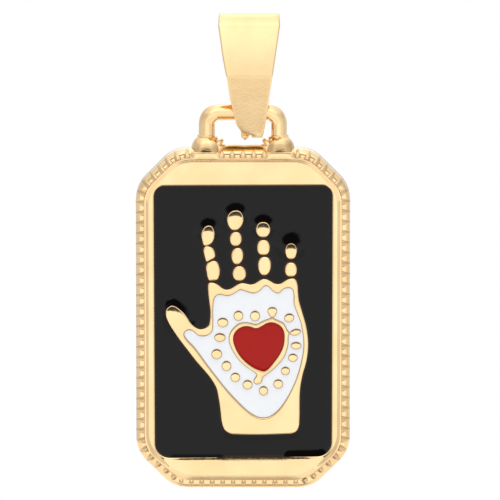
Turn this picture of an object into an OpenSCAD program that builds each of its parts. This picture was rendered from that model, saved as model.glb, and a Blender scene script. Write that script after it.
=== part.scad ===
// Rectangle pendant with cut corners, a ribbed rim, an enamelled hand in relief and a folded strap bail.
// Millimetres, +Z up, front towards -Y. The origin is the chain seat, the inside of the bail at its top.

/* [Body] */
// Width of the body across its long sides
body_w = 17.1; // [16.8:0.1:20]
// Height of the body from its top edge to its bottom edge
body_h = 27.4; // [26.8:0.1:31]
// Leg of the 45 degree cut across each corner
corner_cut = 3.04; // [2.6:0.02:3.4]
// Radius that softens each of the eight outer angles
corner_round = 2.7; // [1.8:0.1:2.9]
// Distance of the flat back behind the middle plane
back_depth = 0.85; // [0.6:0.05:1.1]
// Distance of the flat bezel in front of the middle plane
bezel_depth = 0.95; // [0.8:0.05:1.1]
// Bevel along the edge of the back
back_bevel = 0.15; // [0.05:0.05:0.3]

/* [Rim] */
// Radius of the rounded outer shoulder
shoulder_r = 0.62; // [0.45:0.01:0.7]
// Width of the narrow ridge on top of the shoulder
ridge_w = 0.19; // [0.1:0.01:0.25]
// Height of the ridge above the flat bezel
ridge_rise = 0.2; // [0.1:0.02:0.3]
// Width of the slope from the ridge down to the bezel
slope_w = 0.24; // [0.15:0.01:0.3]
// Width of one rib that crosses the shoulder
rib_w = 0.38; // [0.25:0.01:0.45]
// Spacing from one rib to the next
rib_pitch = 0.845; // [0.7:0.005:1.1]
// Height of a rib above the shoulder
rib_rise = 0.08; // [0.04:0.01:0.12]

/* [Enamel] */
// Width of the sunk field
field_w = 14.24; // [13.6:0.02:14.4]
// Height of the sunk field
field_h = 22.3; // [21:0.1:22.5]
// Radius of the corners of the field
field_round = 0.95; // [0.5:0.05:1.5]
// Distance from the top edge of the body down to the field
field_drop = 2.86; // [2.7:0.02:3.2]
// Depth of every cell below the bezel
cell_depth = 0.5; // [0.35:0.05:0.8]
// Depth of the enamel surface below the bezel
enamel_drop = 0.13; // [0.05:0.01:0.2]
// Gap between an enamel and the walls and floor of its cell
enamel_gap = 0.02; // [0.01:0.01:0.03]

/* [Hand relief] */
// Height of the hand from the wrist to the tip of the middle finger
hand_h = 18.1; // [15.5:0.1:18.6]
// Height of the hand's reference point above the middle of the field
hand_rise = 0.46; // [0.2:0.02:0.6]
// Width of the metal line round the heart
heart_line = 0.25; // [0.18:0.01:0.28]

/* [Stirrup loop] */
// Outer width of the loop
loop_w = 7.04; // [6.8:0.02:7.4]
// Diameter of the loop's wire
wire_d = 1.18; // [1.06:0.02:1.2]
// Bend radius of the loop's corners, to the middle of the wire
loop_bend = 0.9; // [0.75:0.05:1.1]
// Distance from the middle of the crossbar down to the top edge of the body
bar_to_body = 2.88; // [2.8:0.02:3.3]
// Diameter of the ball at the foot of each leg
ball_d = 2.35; // [2.1:0.05:2.5]

/* [Bail] */
// Distance from the chain seat down to the middle of the crossbar
seat_to_bar = 7.42; // [7:0.02:8]
// Thickness of the folded strap
strap = 0.5; // [0.4:0.02:0.55]
// Widest width of the strap, near its top
bail_w = 4.93; // [4.4:0.01:5]
// Angle of each lower leaf from the upright
leaf_angle = 22; // [20:0.5:24]
// Clearance of the crossbar between the leaves
bar_play = 0.1; // [0.08:0.01:0.15]
// Distance from the chain seat down to the bend of the front and back leaf
bend_drop = 4.16; // [4:0.02:4.6]
// Inner radius of the round top that the chain lies in
top_r = 0.8; // [0.6:0.05:1.2]
// Sideways place of the bail on the crossbar
bail_shift = 0.49; // [0:0.01:0.5]

/* [Hidden] */
$fn = 48;

metal = "#e9cf95";
arc_steps = 6;
span_steps = 3;

body_top = -seat_to_bar - bar_to_body;
body_mid = body_top - body_h / 2;
field_mid = body_top - field_drop - field_h / 2;
ridge_depth = bezel_depth + ridge_rise;
shoulder_depth = ridge_depth - shoulder_r;
floor_depth = bezel_depth - cell_depth;
enamel_depth = bezel_depth - enamel_drop;
leg_x = (loop_w - wire_d) / 2;
ball_sink = 0.04;
ball_z = body_top - ball_sink;
collar_rise = 0.1;
collar_h = 0.2;

// Reach of a rib past both ends of the shoulder's quarter round
rib_lap = 0.06;

// Ribs between the balls, and the start of the others that go the long way round from ball to ball
ribs_between = 5;
long_start = 4.4;

// Small teeth on the inner side of each ball
teeth = 3;
tooth_d = 0.4;
tooth_l = 1;
tooth_reach = 1.3;
first_tooth = 5;
tooth_turn = 16;

// Pebbles of the fingers, from the hand's reference point:
// x, z, width, height, and how much wider the top is than the bottom
finger_rows = [
    [-2.80, 6.53, 1.03, 1.60, 0.22],
    [-2.69, 5.06, 0.92, 1.22, 0.10],
    [-2.41, 3.66, 1.09, 1.52, -0.10],
    [-0.61, 7.76, 1.26, 1.61, 0.22],
    [-0.57, 6.26, 0.90, 1.08, 0.05],
    [-0.46, 4.88, 0.90, 1.30, 0.05],
    [-0.24, 3.49, 1.10, 1.21, -0.15],
    [1.60, 6.99, 1.10, 1.19, 0.05],
    [1.66, 5.59, 0.98, 1.18, 0.05],
    [1.70, 4.04, 0.96, 1.46, -0.05],
    [3.84, 5.28, 0.98, 1.29, 0.10],
    [3.84, 3.81, 0.94, 1.10, 0.05],
];

// Dots round the heart, from the hand's reference point: x, z, diameter
dot_rows = [
    [-1.60, -0.44, 0.76], [-0.36, 0.10, 0.74], [0.95, 0.08, 0.76], [2.32, 0.36, 0.70],
    [3.65, -0.07, 0.69], [4.12, -1.22, 0.62], [4.20, -2.30, 0.68], [3.95, -3.27, 0.65],
    [3.36, -4.33, 0.63], [2.79, -5.38, 0.70], [1.62, -5.92, 0.69], [0.36, -5.44, 0.72],
    [-0.61, -4.85, 0.70], [-1.31, -3.93, 0.74], [-2.08, -2.98, 0.78], [-1.83, -1.64, 0.75],
];

// Outline of the palm, thumb and wrist, clockwise from the foot of the first finger
palm_points = [
    [-2.77, 2.69], [-2.24, 2.70], [-1.31, 2.18], [-0.12, 2.70], [0.72, 2.60], [1.67, 3.04],
    [2.78, 2.62], [3.65, 3.04], [4.29, 3.00], [4.42, 1.95], [4.52, 1.04], [4.93, -0.25],
    [5.21, -2.08], [5.07, -3.46], [4.74, -4.65], [4.58, -5.75], [4.54, -8.30], [4.50, -8.75],
    [4.30, -9.17], [3.90, -9.34], [3.50, -9.37], [-0.45, -9.39], [-0.90, -9.35], [-1.40, -9.02],
    [-1.62, -8.50], [-1.86, -6.49], [-2.10, -5.57],
    [-3.89, -3.27], [-5.26, -1.43], [-6.00, -0.33], [-6.18, 0.48], [-5.63, 0.93], [-4.90, 0.49],
    [-4.43, -0.16], [-3.79, -0.80], [-3.34, -0.96], [-2.69, -0.51], [-2.55, -0.16], [-2.60, 1.03],
];

// Outline of the white cell inside the palm, clockwise from its top left
white_points = [
    [-2.23, 1.63], [-1.86, 1.84], [-1.22, 1.73], [-0.76, 1.90], [-0.21, 2.21], [0.34, 2.06],
    [0.89, 1.95], [1.35, 2.18], [1.67, 2.50], [1.99, 2.50], [2.36, 2.14], [2.78, 1.94],
    [3.18, 2.27], [3.55, 2.37], [3.92, 2.27], [4.06, 1.77], [4.06, 1.13], [4.34, 0.30],
    [4.61, -0.43], [4.84, -2.08], [4.74, -3.18], [4.10, -5.38], [2.91, -7.40], [2.18, -8.00],
    [1.54, -8.14], [0.89, -7.95], [-0.76, -6.49], [-2.69, -4.10], [-3.89, -2.45], [-4.62, -1.62],
    [-4.71, -1.34], [-4.43, -1.02], [-3.98, -1.06], [-3.52, -1.43], [-2.97, -1.48], [-2.50, -1.16],
    [-2.42, -0.51], [-2.42, 0.58],
];

// Heart in two runs, from the notch down its right side to the tip, and back up its left side
heart_right = [[1.12, -0.92], [1.40, -0.60], [2.22, -0.40], [3.06, -0.82], [3.31, -1.63], [3.08, -2.74],
    [2.29, -3.90], [1.72, -4.40]];
heart_left = [[1.72, -4.40], [0.63, -4.02], [-0.47, -3.04], [-0.80, -1.82], [-0.46, -1.02], [0.21, -0.71],
    [0.84, -0.76], [1.12, -0.92]];
heart_middle = [1.25, -2.2];
heart_reach = 2.05;
heart_drop = [1.22, -4.94];
drop_r = 0.36;

// Strap outline: drop below the chain seat, left edge, right edge, from the middle of the strap
bail_rows = [
    [-0.60, -2.39, 2.39],
    [0.25, -2.47, 2.46],
    [2.83, -2.09, 2.07],
    [4.42, -1.77, 1.83],
    [6.15, -1.53, 1.59],
    [7.89, -1.14, 1.37],
    [8.43, -0.99, 1.27],
    [8.80, -0.74, 1.21],
    [9.03, -0.63, 1.16],
];
// Toe of the strap below its last row: x, drop
toe_points = [[0.15, 9.21], [0.15, 9.41], [1.05, 9.41], [1.12, 9.25]];
// Tongue of the back leaf that shows beside the toe: x, drop of its round end, radius
tongue = [-0.32, 9.38, 0.31];

hand_k = hand_h / 17.9;
bail_k = bail_w / 4.93;
drop_k = seat_to_bar / 7.42;

function dir(turn) = [cos(turn), sin(turn)];
function unit(v) = v / norm(v);

// Corner k of the body joins the sides whose outward normals are 45 k and 45 (k + 1) degrees
function side_reach(k) = k % 4 == 0 ? body_w / 2 : k % 4 == 2 ? body_h / 2
    : (body_w / 2 + body_h / 2 - corner_cut) / sqrt(2);
function corner(k) =
    let (near = side_reach(k) - corner_round, far = side_reach(k + 1) - corner_round)
    near * dir(45 * k) + (far - near * cos(45)) / sin(45) * dir(45 * k + 90);
function side_length(k) = norm(corner(k) - corner(k + 7));

// Place on the rim at a length s from the start of side k: [point on the shoulder's axis, turn of its normal]
function rim_place(s, k) =
    let (side = side_length(k), bend = (corner_round - shoulder_r / 2) * PI / 4)
    s <= side
        ? [corner(k + 7) + s * dir(45 * k + 90) + (corner_round - shoulder_r) * dir(45 * k), 45 * k]
    : s <= side + bend
        ? let (turn = 45 * k + 45 * (s - side) / bend)
            [corner(k) + (corner_round - shoulder_r) * dir(turn), turn]
    : rim_place(s - side - bend, k + 1);
rim_length = 4 * PI / 2 * (corner_round - shoulder_r / 2)
    + side_length(0) * 2 + side_length(1) * 4 + side_length(2) * 2;

// Smooth open run through the points p, without its last point
function heading(p, i) = i == 0 ? unit(p[1] - p[0])
    : i == len(p) - 1 ? unit(p[i] - p[i - 1])
    : unit(unit(p[i] - p[i - 1]) + unit(p[i + 1] - p[i]));
function between(a, b, ta, tb, t) =
    let (chord = norm(b - a))
    (2 * t ^ 3 - 3 * t ^ 2 + 1) * a + (t ^ 3 - 2 * t ^ 2 + t) * chord * ta
    + (3 * t ^ 2 - 2 * t ^ 3) * b + (t ^ 3 - t ^ 2) * chord * tb;
function run(p) = [for (i = [0:len(p) - 2], j = [0:span_steps - 1])
    between(p[i], p[i + 1], heading(p, i), heading(p, i + 1), j / span_steps)];

// Smooth closed line through the points p
function round_heading(p, i) =
    let (n = len(p)) unit(unit(p[i] - p[(i + n - 1) % n]) + unit(p[(i + 1) % n] - p[i]));
function closed(p) = [for (i = [0:len(p) - 1], j = [0:span_steps - 1])
    let (next = (i + 1) % len(p))
    between(p[i], p[next], round_heading(p, i), round_heading(p, next), j / span_steps)];

// A clockwise line moved outwards by a small distance
function moved_out(p, distance) = [for (i = [0:len(p) - 1])
    let (along = round_heading(p, i)) p[i] + distance * [-along[1], along[0]]];

function pebble(w, h, wider) = [for (i = [0:19])
    let (t = 18 * i) [w / 2 * cos(t) * (1 + wider * sin(t)), h / 2 * sin(t)]];

function rounded_box(w, h, r) = [for (k = [0:3], j = [0:arc_steps])
    let (turn = 90 * k + 90 * j / arc_steps, x = k == 0 || k == 3 ? 1 : -1, z = k < 2 ? 1 : -1)
    [x * (w / 2 - r), z * (h / 2 - r)] + r * dir(turn)];

// Stands a flat drawing of x and z upright, with its height towards the front
module upright() {
    rotate([90, 0, 0]) children();
}

// Rounded outline of the body, moved in by a distance, at a distance to the front
function ring(inset, front) = [for (k = [0:7], j = [0:arc_steps])
    let (p = corner(k) + (corner_round - inset) * dir(45 * k + 45 * j / arc_steps)) [p[0], p[1], front]];

// Section of the body at its edge, from the back to the front:
// distance in from the outline, distance to the front
edge_section = concat(
    [[back_bevel, -back_depth], [0, -back_depth + back_bevel]],
    [for (j = [0:arc_steps]) [shoulder_r, shoulder_depth] + shoulder_r * dir(180 - 90 * j / arc_steps)],
    [[shoulder_r + ridge_w, ridge_depth], [shoulder_r + ridge_w + slope_w, bezel_depth]]
);

// Body with rounded shoulders: one skin through the rings of its section
module blank() {
    rings = [for (row = edge_section) ring(row[0], row[1])];
    n = len(rings[0]);
    last = (len(rings) - 1) * n;
    polyhedron(
        points = [for (points = rings, p = points) p],
        faces = concat(
            [[for (i = [0:n - 1]) i]],
            [for (r = [0:len(rings) - 2], i = [0:n - 1])
                [r * n + i, (r + 1) * n + i, (r + 1) * n + (i + 1) % n, r * n + (i + 1) % n]],
            [[for (i = [n - 1:-1:0]) last + i]]
        )
    );
}

module rib(place) {
    translate(place[0])
        rotate(place[1])
            translate([0, rib_w / 2, shoulder_depth])
                rotate([90, 0, 0])
                    linear_extrude(rib_w)
                        intersection() {
                            circle(r = shoulder_r + rib_rise);
                            translate([-rib_lap, -rib_lap])
                                square(2 * shoulder_r);
                        }
}

module ribs() {
    top_middle = side_length(2) / 2;
    long_count = round((rim_length - 2 * long_start) / rib_pitch);
    long_pitch = (rim_length - 2 * long_start) / long_count;
    for (i = [0:ribs_between - 1])
        rib(rim_place(top_middle + (i - (ribs_between - 1) / 2) * rib_pitch, 2));
    for (i = [0:long_count])
        rib(rim_place(top_middle + long_start + i * long_pitch, 2));
}

module palm_shape(gap) {
    polygon(moved_out(closed(hand_k * palm_points), gap));
}

module finger_shapes(gap) {
    for (row = finger_rows)
        translate(hand_k * [row[0], row[1]])
            polygon(pebble(hand_k * row[2] + 2 * gap, hand_k * row[3] + 2 * gap, row[4]));
}

module dot_shapes(gap) {
    for (row = dot_rows)
        translate(hand_k * [row[0], row[1]])
            circle(d = hand_k * row[2] + 2 * gap);
}

// Heart moved out from its own middle
module heart_shape(out) {
    grow = 1 + out / heart_reach;
    polygon(hand_k * [for (p = concat(run(heart_right), run(heart_left)))
        heart_middle + grow * (p - heart_middle)]);
}

module heart_frame(gap) {
    heart_shape(heart_line + gap);
    translate(hand_k * heart_drop)
        circle(r = hand_k * drop_r + gap);
}

// The three cells, from the middle of the field; a gap above 0 gives the enamel that fills the cell
module black_shape(gap) {
    difference() {
        polygon(rounded_box(field_w - 2 * gap, field_h - 2 * gap, field_round - gap));
        translate([0, hand_rise]) {
            palm_shape(gap);
            finger_shapes(gap);
        }
    }
}

module white_shape(gap) {
    translate([0, hand_rise])
        difference() {
            polygon(moved_out(closed(hand_k * white_points), -gap));
            dot_shapes(gap);
            heart_frame(gap);
        }
}

module red_shape(gap) {
    translate([0, hand_rise])
        heart_shape(-gap);
}

module cell() {
    translate([0, 0, floor_depth])
        linear_extrude(2 * cell_depth)
            children();
}

module enamel() {
    translate([0, 0, field_mid])
        upright()
            translate([0, 0, floor_depth + enamel_gap])
                linear_extrude(enamel_depth - floor_depth - enamel_gap)
                    children();
}

// Wire loop from ball to ball, with round corners
module stirrup() {
    bar_x = leg_x - loop_bend;
    foot_z = ball_z - ball_d / 4;
    translate([-bar_x, 0, -seat_to_bar])
        rotate([0, 90, 0])
            cylinder(d = wire_d, h = 2 * bar_x);
    for (side = [-1, 1]) {
        translate([side * bar_x, 0, -seat_to_bar - loop_bend])
            upright()
                rotate(side > 0 ? 0 : 90)
                    rotate_extrude(angle = 90)
                        translate([loop_bend, 0])
                            circle(d = wire_d);
        translate([side * leg_x, 0, foot_z])
            cylinder(d = wire_d, h = -seat_to_bar - loop_bend - foot_z);
    }
}

// Ball at the foot of a leg, with its collar and the small teeth on its inner side
module foot_ball() {
    sphere(d = ball_d);
    translate([0, 0, ball_d / 2 - 1.5 * collar_h])
        cylinder(r = wire_d / 2 + collar_rise, h = collar_h);
    for (i = [0:teeth - 1])
        rotate([0, -first_tooth - tooth_turn * i, 0])
            translate([tooth_reach, 0, 0])
                rotate([90, 0, 0])
                    cylinder(d = tooth_d, h = tooth_l, center = true);
}

module plate() {
    color(metal) {
        difference() {
            translate([0, 0, body_mid])
                upright()
                    blank();
            translate([0, 0, field_mid])
                upright()
                    cell() {
                        black_shape(0);
                        white_shape(0);
                        red_shape(0);
                    }
        }
        translate([0, 0, body_mid])
            upright()
                ribs();
        stirrup();
        translate([-leg_x, 0, ball_z])
            foot_ball();
        translate([leg_x, 0, ball_z])
            rotate([0, 0, 180])
                foot_ball();
    }
}

module black_enamel() {
    color("#2b2b2b")
        enamel() black_shape(enamel_gap);
}

module white_enamel() {
    color("#f5f7fb")
        enamel() white_shape(enamel_gap);
}

module red_enamel() {
    color("#a8282a")
        enamel() red_shape(enamel_gap);
}

// Folded strap, cut to outline. Seen from the side it has a round top, two leaves that spread down to
// their bend, and two that close again below the crossbar
module bail() {
    apex_drop = seat_to_bar + (wire_d / 2 + bar_play) / sin(leaf_angle);
    inner = (apex_drop - bend_drop) * tan(leaf_angle);
    leaf_out = strap / cos(leaf_angle);
    end_drop = tongue[1] + tongue[2] + 0.1;
    end_out = leaf_out - (end_drop - apex_drop) * tan(leaf_angle);
    // Lean of the upper leaves, which run from the bend to the round top and touch its circle
    lean = acos(top_r / norm([inner, bend_drop - top_r])) - atan2(bend_drop - top_r, inner);
    turns = [for (j = [0:2 * arc_steps]) lean + (90 - lean) * j / arc_steps];
    inner_top = [for (turn = turns) [0, -top_r] + top_r * dir(turn)];
    outer_top = [for (turn = turns) [0, -top_r] + (top_r + strap) * dir(turn)];
    out = strap * (dir(lean) + dir(-leaf_angle)) / (1 + dir(lean) * dir(-leaf_angle));
    color(metal)
        intersection() {
            translate([-bail_w, 0, 0])
                rotate([90, 0, 90])
                    linear_extrude(2 * bail_w)
                        difference() {
                            polygon(concat(
                                outer_top,
                                [[-inner - out[0], -bend_drop + out[1]], [-end_out, -end_drop]],
                                [[end_out, -end_drop], [inner + out[0], -bend_drop + out[1]]]
                            ));
                            polygon(concat(
                                inner_top,
                                [[-inner, -bend_drop], [0, -apex_drop], [inner, -bend_drop]]
                            ));
                        }
            translate([bail_shift, 0, 0])
                union() {
                    translate([0, 2 * bail_w, 0])
                        upright()
                            linear_extrude(4 * bail_w)
                                polygon([
                                    for (row = bail_rows) [bail_k * row[1], -drop_k * row[0]],
                                    for (p = toe_points) [bail_k * p[0], -drop_k * p[1]],
                                    for (i = [len(bail_rows) - 1:-1:0])
                                        [bail_k * bail_rows[i][2], -drop_k * bail_rows[i][0]]
                                ]);
                    translate([bail_k * tongue[0], 2 * bail_w, -drop_k * tongue[1]])
                        upright()
                            cylinder(r = tongue[2], h = 2 * bail_w);
                }
        }
}

plate();
black_enamel();
white_enamel();
red_enamel();
bail();
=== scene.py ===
import math
import bmesh
import bpy
import numpy as np
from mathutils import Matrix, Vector
from mathutils.geometry import delaunay_2d_cdt


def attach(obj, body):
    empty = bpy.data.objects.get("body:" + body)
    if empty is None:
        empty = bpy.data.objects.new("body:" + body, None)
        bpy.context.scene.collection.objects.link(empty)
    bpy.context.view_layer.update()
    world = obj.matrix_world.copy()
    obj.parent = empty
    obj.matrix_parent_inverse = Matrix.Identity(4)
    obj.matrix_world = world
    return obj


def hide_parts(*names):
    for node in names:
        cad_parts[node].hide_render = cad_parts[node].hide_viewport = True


# Rectangle pendant: a cast and gold plated plate with a hand in soft enamel, on a wire loop and a strap bail.
# Outlines are millimetres in the plane of the face, x to the right and z up. A depth is towards the front.

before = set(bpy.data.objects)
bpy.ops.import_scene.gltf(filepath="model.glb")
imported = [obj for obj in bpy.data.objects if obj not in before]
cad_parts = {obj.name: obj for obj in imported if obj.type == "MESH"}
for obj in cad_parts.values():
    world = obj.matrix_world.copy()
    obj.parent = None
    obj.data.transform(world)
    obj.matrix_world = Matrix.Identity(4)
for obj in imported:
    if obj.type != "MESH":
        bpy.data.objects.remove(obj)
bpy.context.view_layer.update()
mm = 0.001

place = {  # heights are under the chain seat, where the origin is
    "bar": 7.42,          # middle of the loop's crossbar
    "bodyTop": 10.30,
    "bodyWide": 17.1,
    "bodyHigh": 27.49,
    "cornerCut": 3.04,    # leg of the cut across a corner
    "cornerRound": 2.7,
    "cornerEase": 1.0,    # how much rounder the crease is
    "easeOver": (0.5, 1.0),  # insets between which it gets rounder
    "bezel": 0.95,        # depth of the flat metal
    "floor": 0.45,        # depth of the cells
    "back": -0.85,
    "legX": 2.93,         # from the middle to a leg of the loop and to a ball
}
bodyMid = -place["bodyTop"] - place["bodyHigh"] / 2


def spot(x, z, depth):
    return (x * mm, -depth * mm, z * mm)


def direction(turn):
    return np.array([math.cos(turn), math.sin(turn)])


# Camera: the top wall of the rim shows, so it looks down by nine degrees
cameraView = {
    "distance": 0.6,
    "lift": math.radians(9.0),
    "aimX": 0.56,
    "aimZ": -18.56,
    "frameWide": 40.0,    # millimetres across the picture
}


def inScene(name, data):
    item = bpy.data.objects.new(name, data)
    bpy.context.scene.collection.objects.link(item)
    return item


def makeCamera(view):
    data = bpy.data.cameras.new("camera")
    camera = inScene("camera", data)
    aim = Vector(spot(view["aimX"], view["aimZ"], 0))
    back = Vector((0, -math.cos(view["lift"]), math.sin(view["lift"])))
    camera.location = aim + back * view["distance"]
    camera.rotation_euler = (math.pi / 2 - view["lift"], 0, 0)
    data.lens = data.sensor_width * view["distance"] / (view["frameWide"] * mm)
    data.clip_start = 0.01
    bpy.context.scene.camera = camera


makeCamera(cameraView)
print("camera ready")


# Nodes: one function adds any node, with its links and its settings; a linked node gives its first output
def addNode(tree, kind, inputs=None, **settings):
    node = tree.nodes.new(kind)
    for name, value in settings.items():
        setattr(node, name, value)
    for key, value in (inputs or {}).items():
        if isinstance(value, bpy.types.Node):
            value = value.outputs[0]
        if isinstance(value, bpy.types.NodeSocket):
            tree.links.new(value, node.inputs[key])
        else:
            node.inputs[key].default_value = value
    return node


def emptyTree(owner):     # of a material or the world
    owner.use_nodes = True
    owner.node_tree.nodes.clear()
    return owner.node_tree


def mapped(source, reach, low=0.0, high=1.0):  # inputs that map one reach of values to another
    return {"Value": source, "From Min": reach[0], "From Max": reach[1], "To Min": low, "To Max": high}


def colour(code):  # sRGB hex to linear
    values = [int(code[i:i + 2], 16) / 255 for i in (1, 3, 5)]
    return [v / 12.92 if v <= 0.04045 else ((v + 0.055) / 1.055) ** 2.4 for v in values] + [1.0]


# Studio: a light tent all round, with the opening for the lens near the camera as its only dark place
studio = {
    "heights": [          # degrees above the horizon, brightness
        (-90, 0.35), (-68, 0.60), (-48, 0.96), (-19, 1.15), (-9, 1.26), (14, 1.10), (22, 1.06), (28, 1.16),
        (34, 1.29), (37, 1.42), (40, 1.50), (53, 1.50), (64, 1.46), (76, 1.42), (90, 1.36),
    ],
    "sides": [            # degrees to the right of the front, brightness
        (-180, 1.10), (-172, 1.0), (-158, 0.76), (-120, 0.63), (-100, 0.62), (-80, 0.68), (-50, 0.67),
        (-38, 0.72), (-28, 0.92), (-12, 1.12), (0, 1.0), (14, 1.06), (26, 0.96), (38, 0.78), (62, 0.72),
        (80, 0.62), (94, 0.56), (112, 0.70), (156, 0.76), (172, 1.0), (180, 1.10),
    ],
    "fadeUp": (50, 85),   # degrees up or down over which the sides no longer differ
    "openings": [         # degrees to the right, degrees up, half width, half height, brightness left
        (0, 7.5, 27, 8.5, 0.035), (180, -14, 40, 15, 0.45), (-180, -14, 40, 15, 0.45),
    ],
    "openingEdge": (0.6, 1.2),  # soft edge, in parts of its half sizes
}


def makeStudio(values):
    world = bpy.data.worlds.new("studio")
    bpy.context.scene.world = world
    tree = emptyTree(world)
    ray = addNode(tree, "ShaderNodeTexCoord")
    axes = addNode(tree, "ShaderNodeSeparateXYZ", {0: ray.outputs["Generated"]})
    front = addNode(tree, "ShaderNodeMath", {0: axes.outputs["Y"], 1: -1.0}, operation="MULTIPLY")
    side = addNode(tree, "ShaderNodeMath", {0: axes.outputs["X"], 1: front}, operation="ARCTAN2")
    height = addNode(tree, "ShaderNodeMath", {0: axes.outputs["Z"]}, operation="ARCSINE")
    sideDeg = addNode(tree, "ShaderNodeMath", {0: side}, operation="DEGREES")
    heightDeg = addNode(tree, "ShaderNodeMath", {0: height}, operation="DEGREES")
    away = addNode(tree, "ShaderNodeMath", {0: heightDeg}, operation="ABSOLUTE")

    def ramp(source, low, high, rows):  # brightness by degrees; a colour ramp holds 0 to 1, so half of it
        part = addNode(tree, "ShaderNodeMapRange", mapped(source, (low, high)))
        node = addNode(tree, "ShaderNodeValToRGB", {0: part})
        node.color_ramp.interpolation = "LINEAR"
        while len(node.color_ramp.elements) < len(rows):
            node.color_ramp.elements.new(0.5)
        for element, (at, level) in zip(node.color_ramp.elements, rows):
            element.position = (at - low) / (high - low)
            element.color = (level / 2, level / 2, level / 2, 1)
        return addNode(tree, "ShaderNodeMath", {0: node, 1: 2.0}, operation="MULTIPLY")

    byHeight = ramp(heightDeg, -90, 90, values["heights"])
    bySide = ramp(sideDeg, -180, 180, values["sides"])
    fade = addNode(tree, "ShaderNodeMapRange", mapped(
        away, values["fadeUp"]), interpolation_type="SMOOTHSTEP")
    sides = addNode(tree, "ShaderNodeMix", {0: fade, 2: bySide, 3: 1.0}, data_type="FLOAT")
    level = addNode(tree, "ShaderNodeMath", {0: byHeight, 1: sides}, operation="MULTIPLY")
    for right, up, wide, high, left in values["openings"]:
        flat = addNode(tree, "ShaderNodeCombineXYZ")
        for axis, (source, middle, half) in enumerate(((sideDeg, right, wide), (heightDeg, up, high))):
            away = addNode(tree, "ShaderNodeMath", {0: source, 1: middle}, operation="SUBTRACT")
            away = addNode(tree, "ShaderNodeMath", {0: away, 1: half}, operation="DIVIDE")
            tree.links.new(away.outputs[0], flat.inputs[axis])
        reach = addNode(tree, "ShaderNodeVectorMath", {0: flat}, operation="LENGTH")
        shade = addNode(tree, "ShaderNodeMapRange", mapped(
            reach.outputs["Value"], values["openingEdge"], left), interpolation_type="SMOOTHSTEP")
        level = addNode(tree, "ShaderNodeMath", {0: level, 1: shade}, operation="MULTIPLY")
    tent = addNode(tree, "ShaderNodeBackground", {"Color": (1, 1, 1, 1), "Strength": level})
    paper = addNode(tree, "ShaderNodeBackground", {"Color": (1, 1, 1, 1), "Strength": 1.0})
    path = addNode(tree, "ShaderNodeLightPath")
    mix = addNode(tree, "ShaderNodeMixShader", {0: path.outputs["Is Camera Ray"], 1: tent, 2: paper})
    addNode(tree, "ShaderNodeOutputWorld", {"Surface": mix})


makeStudio(studio)
bpy.context.scene.view_settings.view_transform = "Standard"

softboxes = {             # name: place in metres, size in metres, watts
    "softboxTop": ((0.0, -0.15, 0.55), 0.5, 0.5),
    "softboxLeft": ((-0.5, -0.35, 0.15), 0.4, 0.25),
    "softboxBack": ((0.2, 0.6, 0.2), 0.5, 0.3),
}
lampAim = Vector((0, 0, -0.018))  # about the middle of the pendant
for name, (where, size, watts) in softboxes.items():
    lamp = bpy.data.lights.new(name, "AREA")
    lamp.size = size
    lamp.energy = watts
    light = inScene(name, lamp)
    light.location = where
    light.rotation_euler = (lampAim - light.location).to_track_quat("-Z", "Y").to_euler()
    light.visible_camera = False
    light.visible_glossy = False  # the gold mirrors the tent alone
print("studio ready")


# Lines in the plane of the face
def smoothLine(points, steps=8):  # closed and smooth through a few chosen points
    p = np.array(points, float)
    step = np.roll(p, -1, 0) - p
    chord = np.linalg.norm(step, axis=1, keepdims=True)
    unit = step / chord
    heading = unit + np.roll(unit, 1, 0)
    heading /= np.linalg.norm(heading, axis=1, keepdims=True)
    line = []
    for i in range(len(p)):
        j = (i + 1) % len(p)
        for t in np.arange(steps) / steps:
            line.append((2 * t**3 - 3 * t**2 + 1) * p[i] + (t**3 - 2 * t**2 + t) * chord[i] * heading[i]
                        + (3 * t**2 - 2 * t**3) * p[j] + (t**3 - t**2) * chord[i] * heading[j])
    return np.array(line)


def lengthsAlong(line):   # from its first point to each of its points
    return np.concatenate([[0], np.cumsum(np.linalg.norm(np.diff(line, axis=0), axis=1))])


def pointsAt(line, at):   # points at these lengths along an open line
    length = lengthsAlong(line)
    return np.stack([np.interp(at, length, line[:, axis]) for axis in (0, 1)], 1)


def areaOf(line):
    other = np.roll(line, -1, 0)
    return 0.5 * float(np.sum(line[:, 0] * other[:, 1] - other[:, 0] * line[:, 1]))


def evenly(line, spacing):  # closed line with even steps, anticlockwise
    if areaOf(line) < 0:
        line = line[::-1]
    ring = np.vstack([line, line[:1]])
    total = lengthsAlong(ring)[-1]
    count = max(8, round(total / spacing))
    return pointsAt(ring, np.arange(count) * total / count)


def outward(line):  # unit normals away from the inside of an anticlockwise line
    along = np.roll(line, -1, 0) - np.roll(line, 1, 0)
    along /= np.linalg.norm(along, axis=1, keepdims=True)
    return np.stack([along[:, 1], -along[:, 0]], 1)


def roundedBox(wide, high, middle, radii, steps=14):  # radii of the upper and the lower corners
    line = []
    for k, (sx, sz) in enumerate(((1, 1), (-1, 1), (-1, -1), (1, -1))):
        radius = radii[0] if sz > 0 else radii[1]
        for j in range(steps + 1):
            turn = math.pi / 2 * (k + j / steps)
            line.append(np.array([sx * (wide / 2 - radius), middle + sz * (high / 2 - radius)])
                        + radius * direction(turn))
    return np.array(line)


def eased(part):          # 0 to 1 with soft ends
    return part * part * (3 - 2 * part)


def pebbleLine(x, z, wide, high, wider=0.0, lean=0.0, square=1.0, turn=0.0):
    line = []
    count = 72
    a = math.radians(turn)
    for k in range(count):
        t = 2 * math.pi * k / count
        c, s = math.cos(t), math.sin(t)
        u = math.copysign(abs(c) ** square, c) * wide / 2 * (1 + wider * s) + lean * s * abs(s)
        v = math.copysign(abs(s) ** square, s) * high / 2
        line.append((x + u * math.cos(a) - v * math.sin(a), z + u * math.sin(a) + v * math.cos(a)))
    return np.array(line)


farthest = 1.2            # distances beyond this aren't needed


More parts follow.
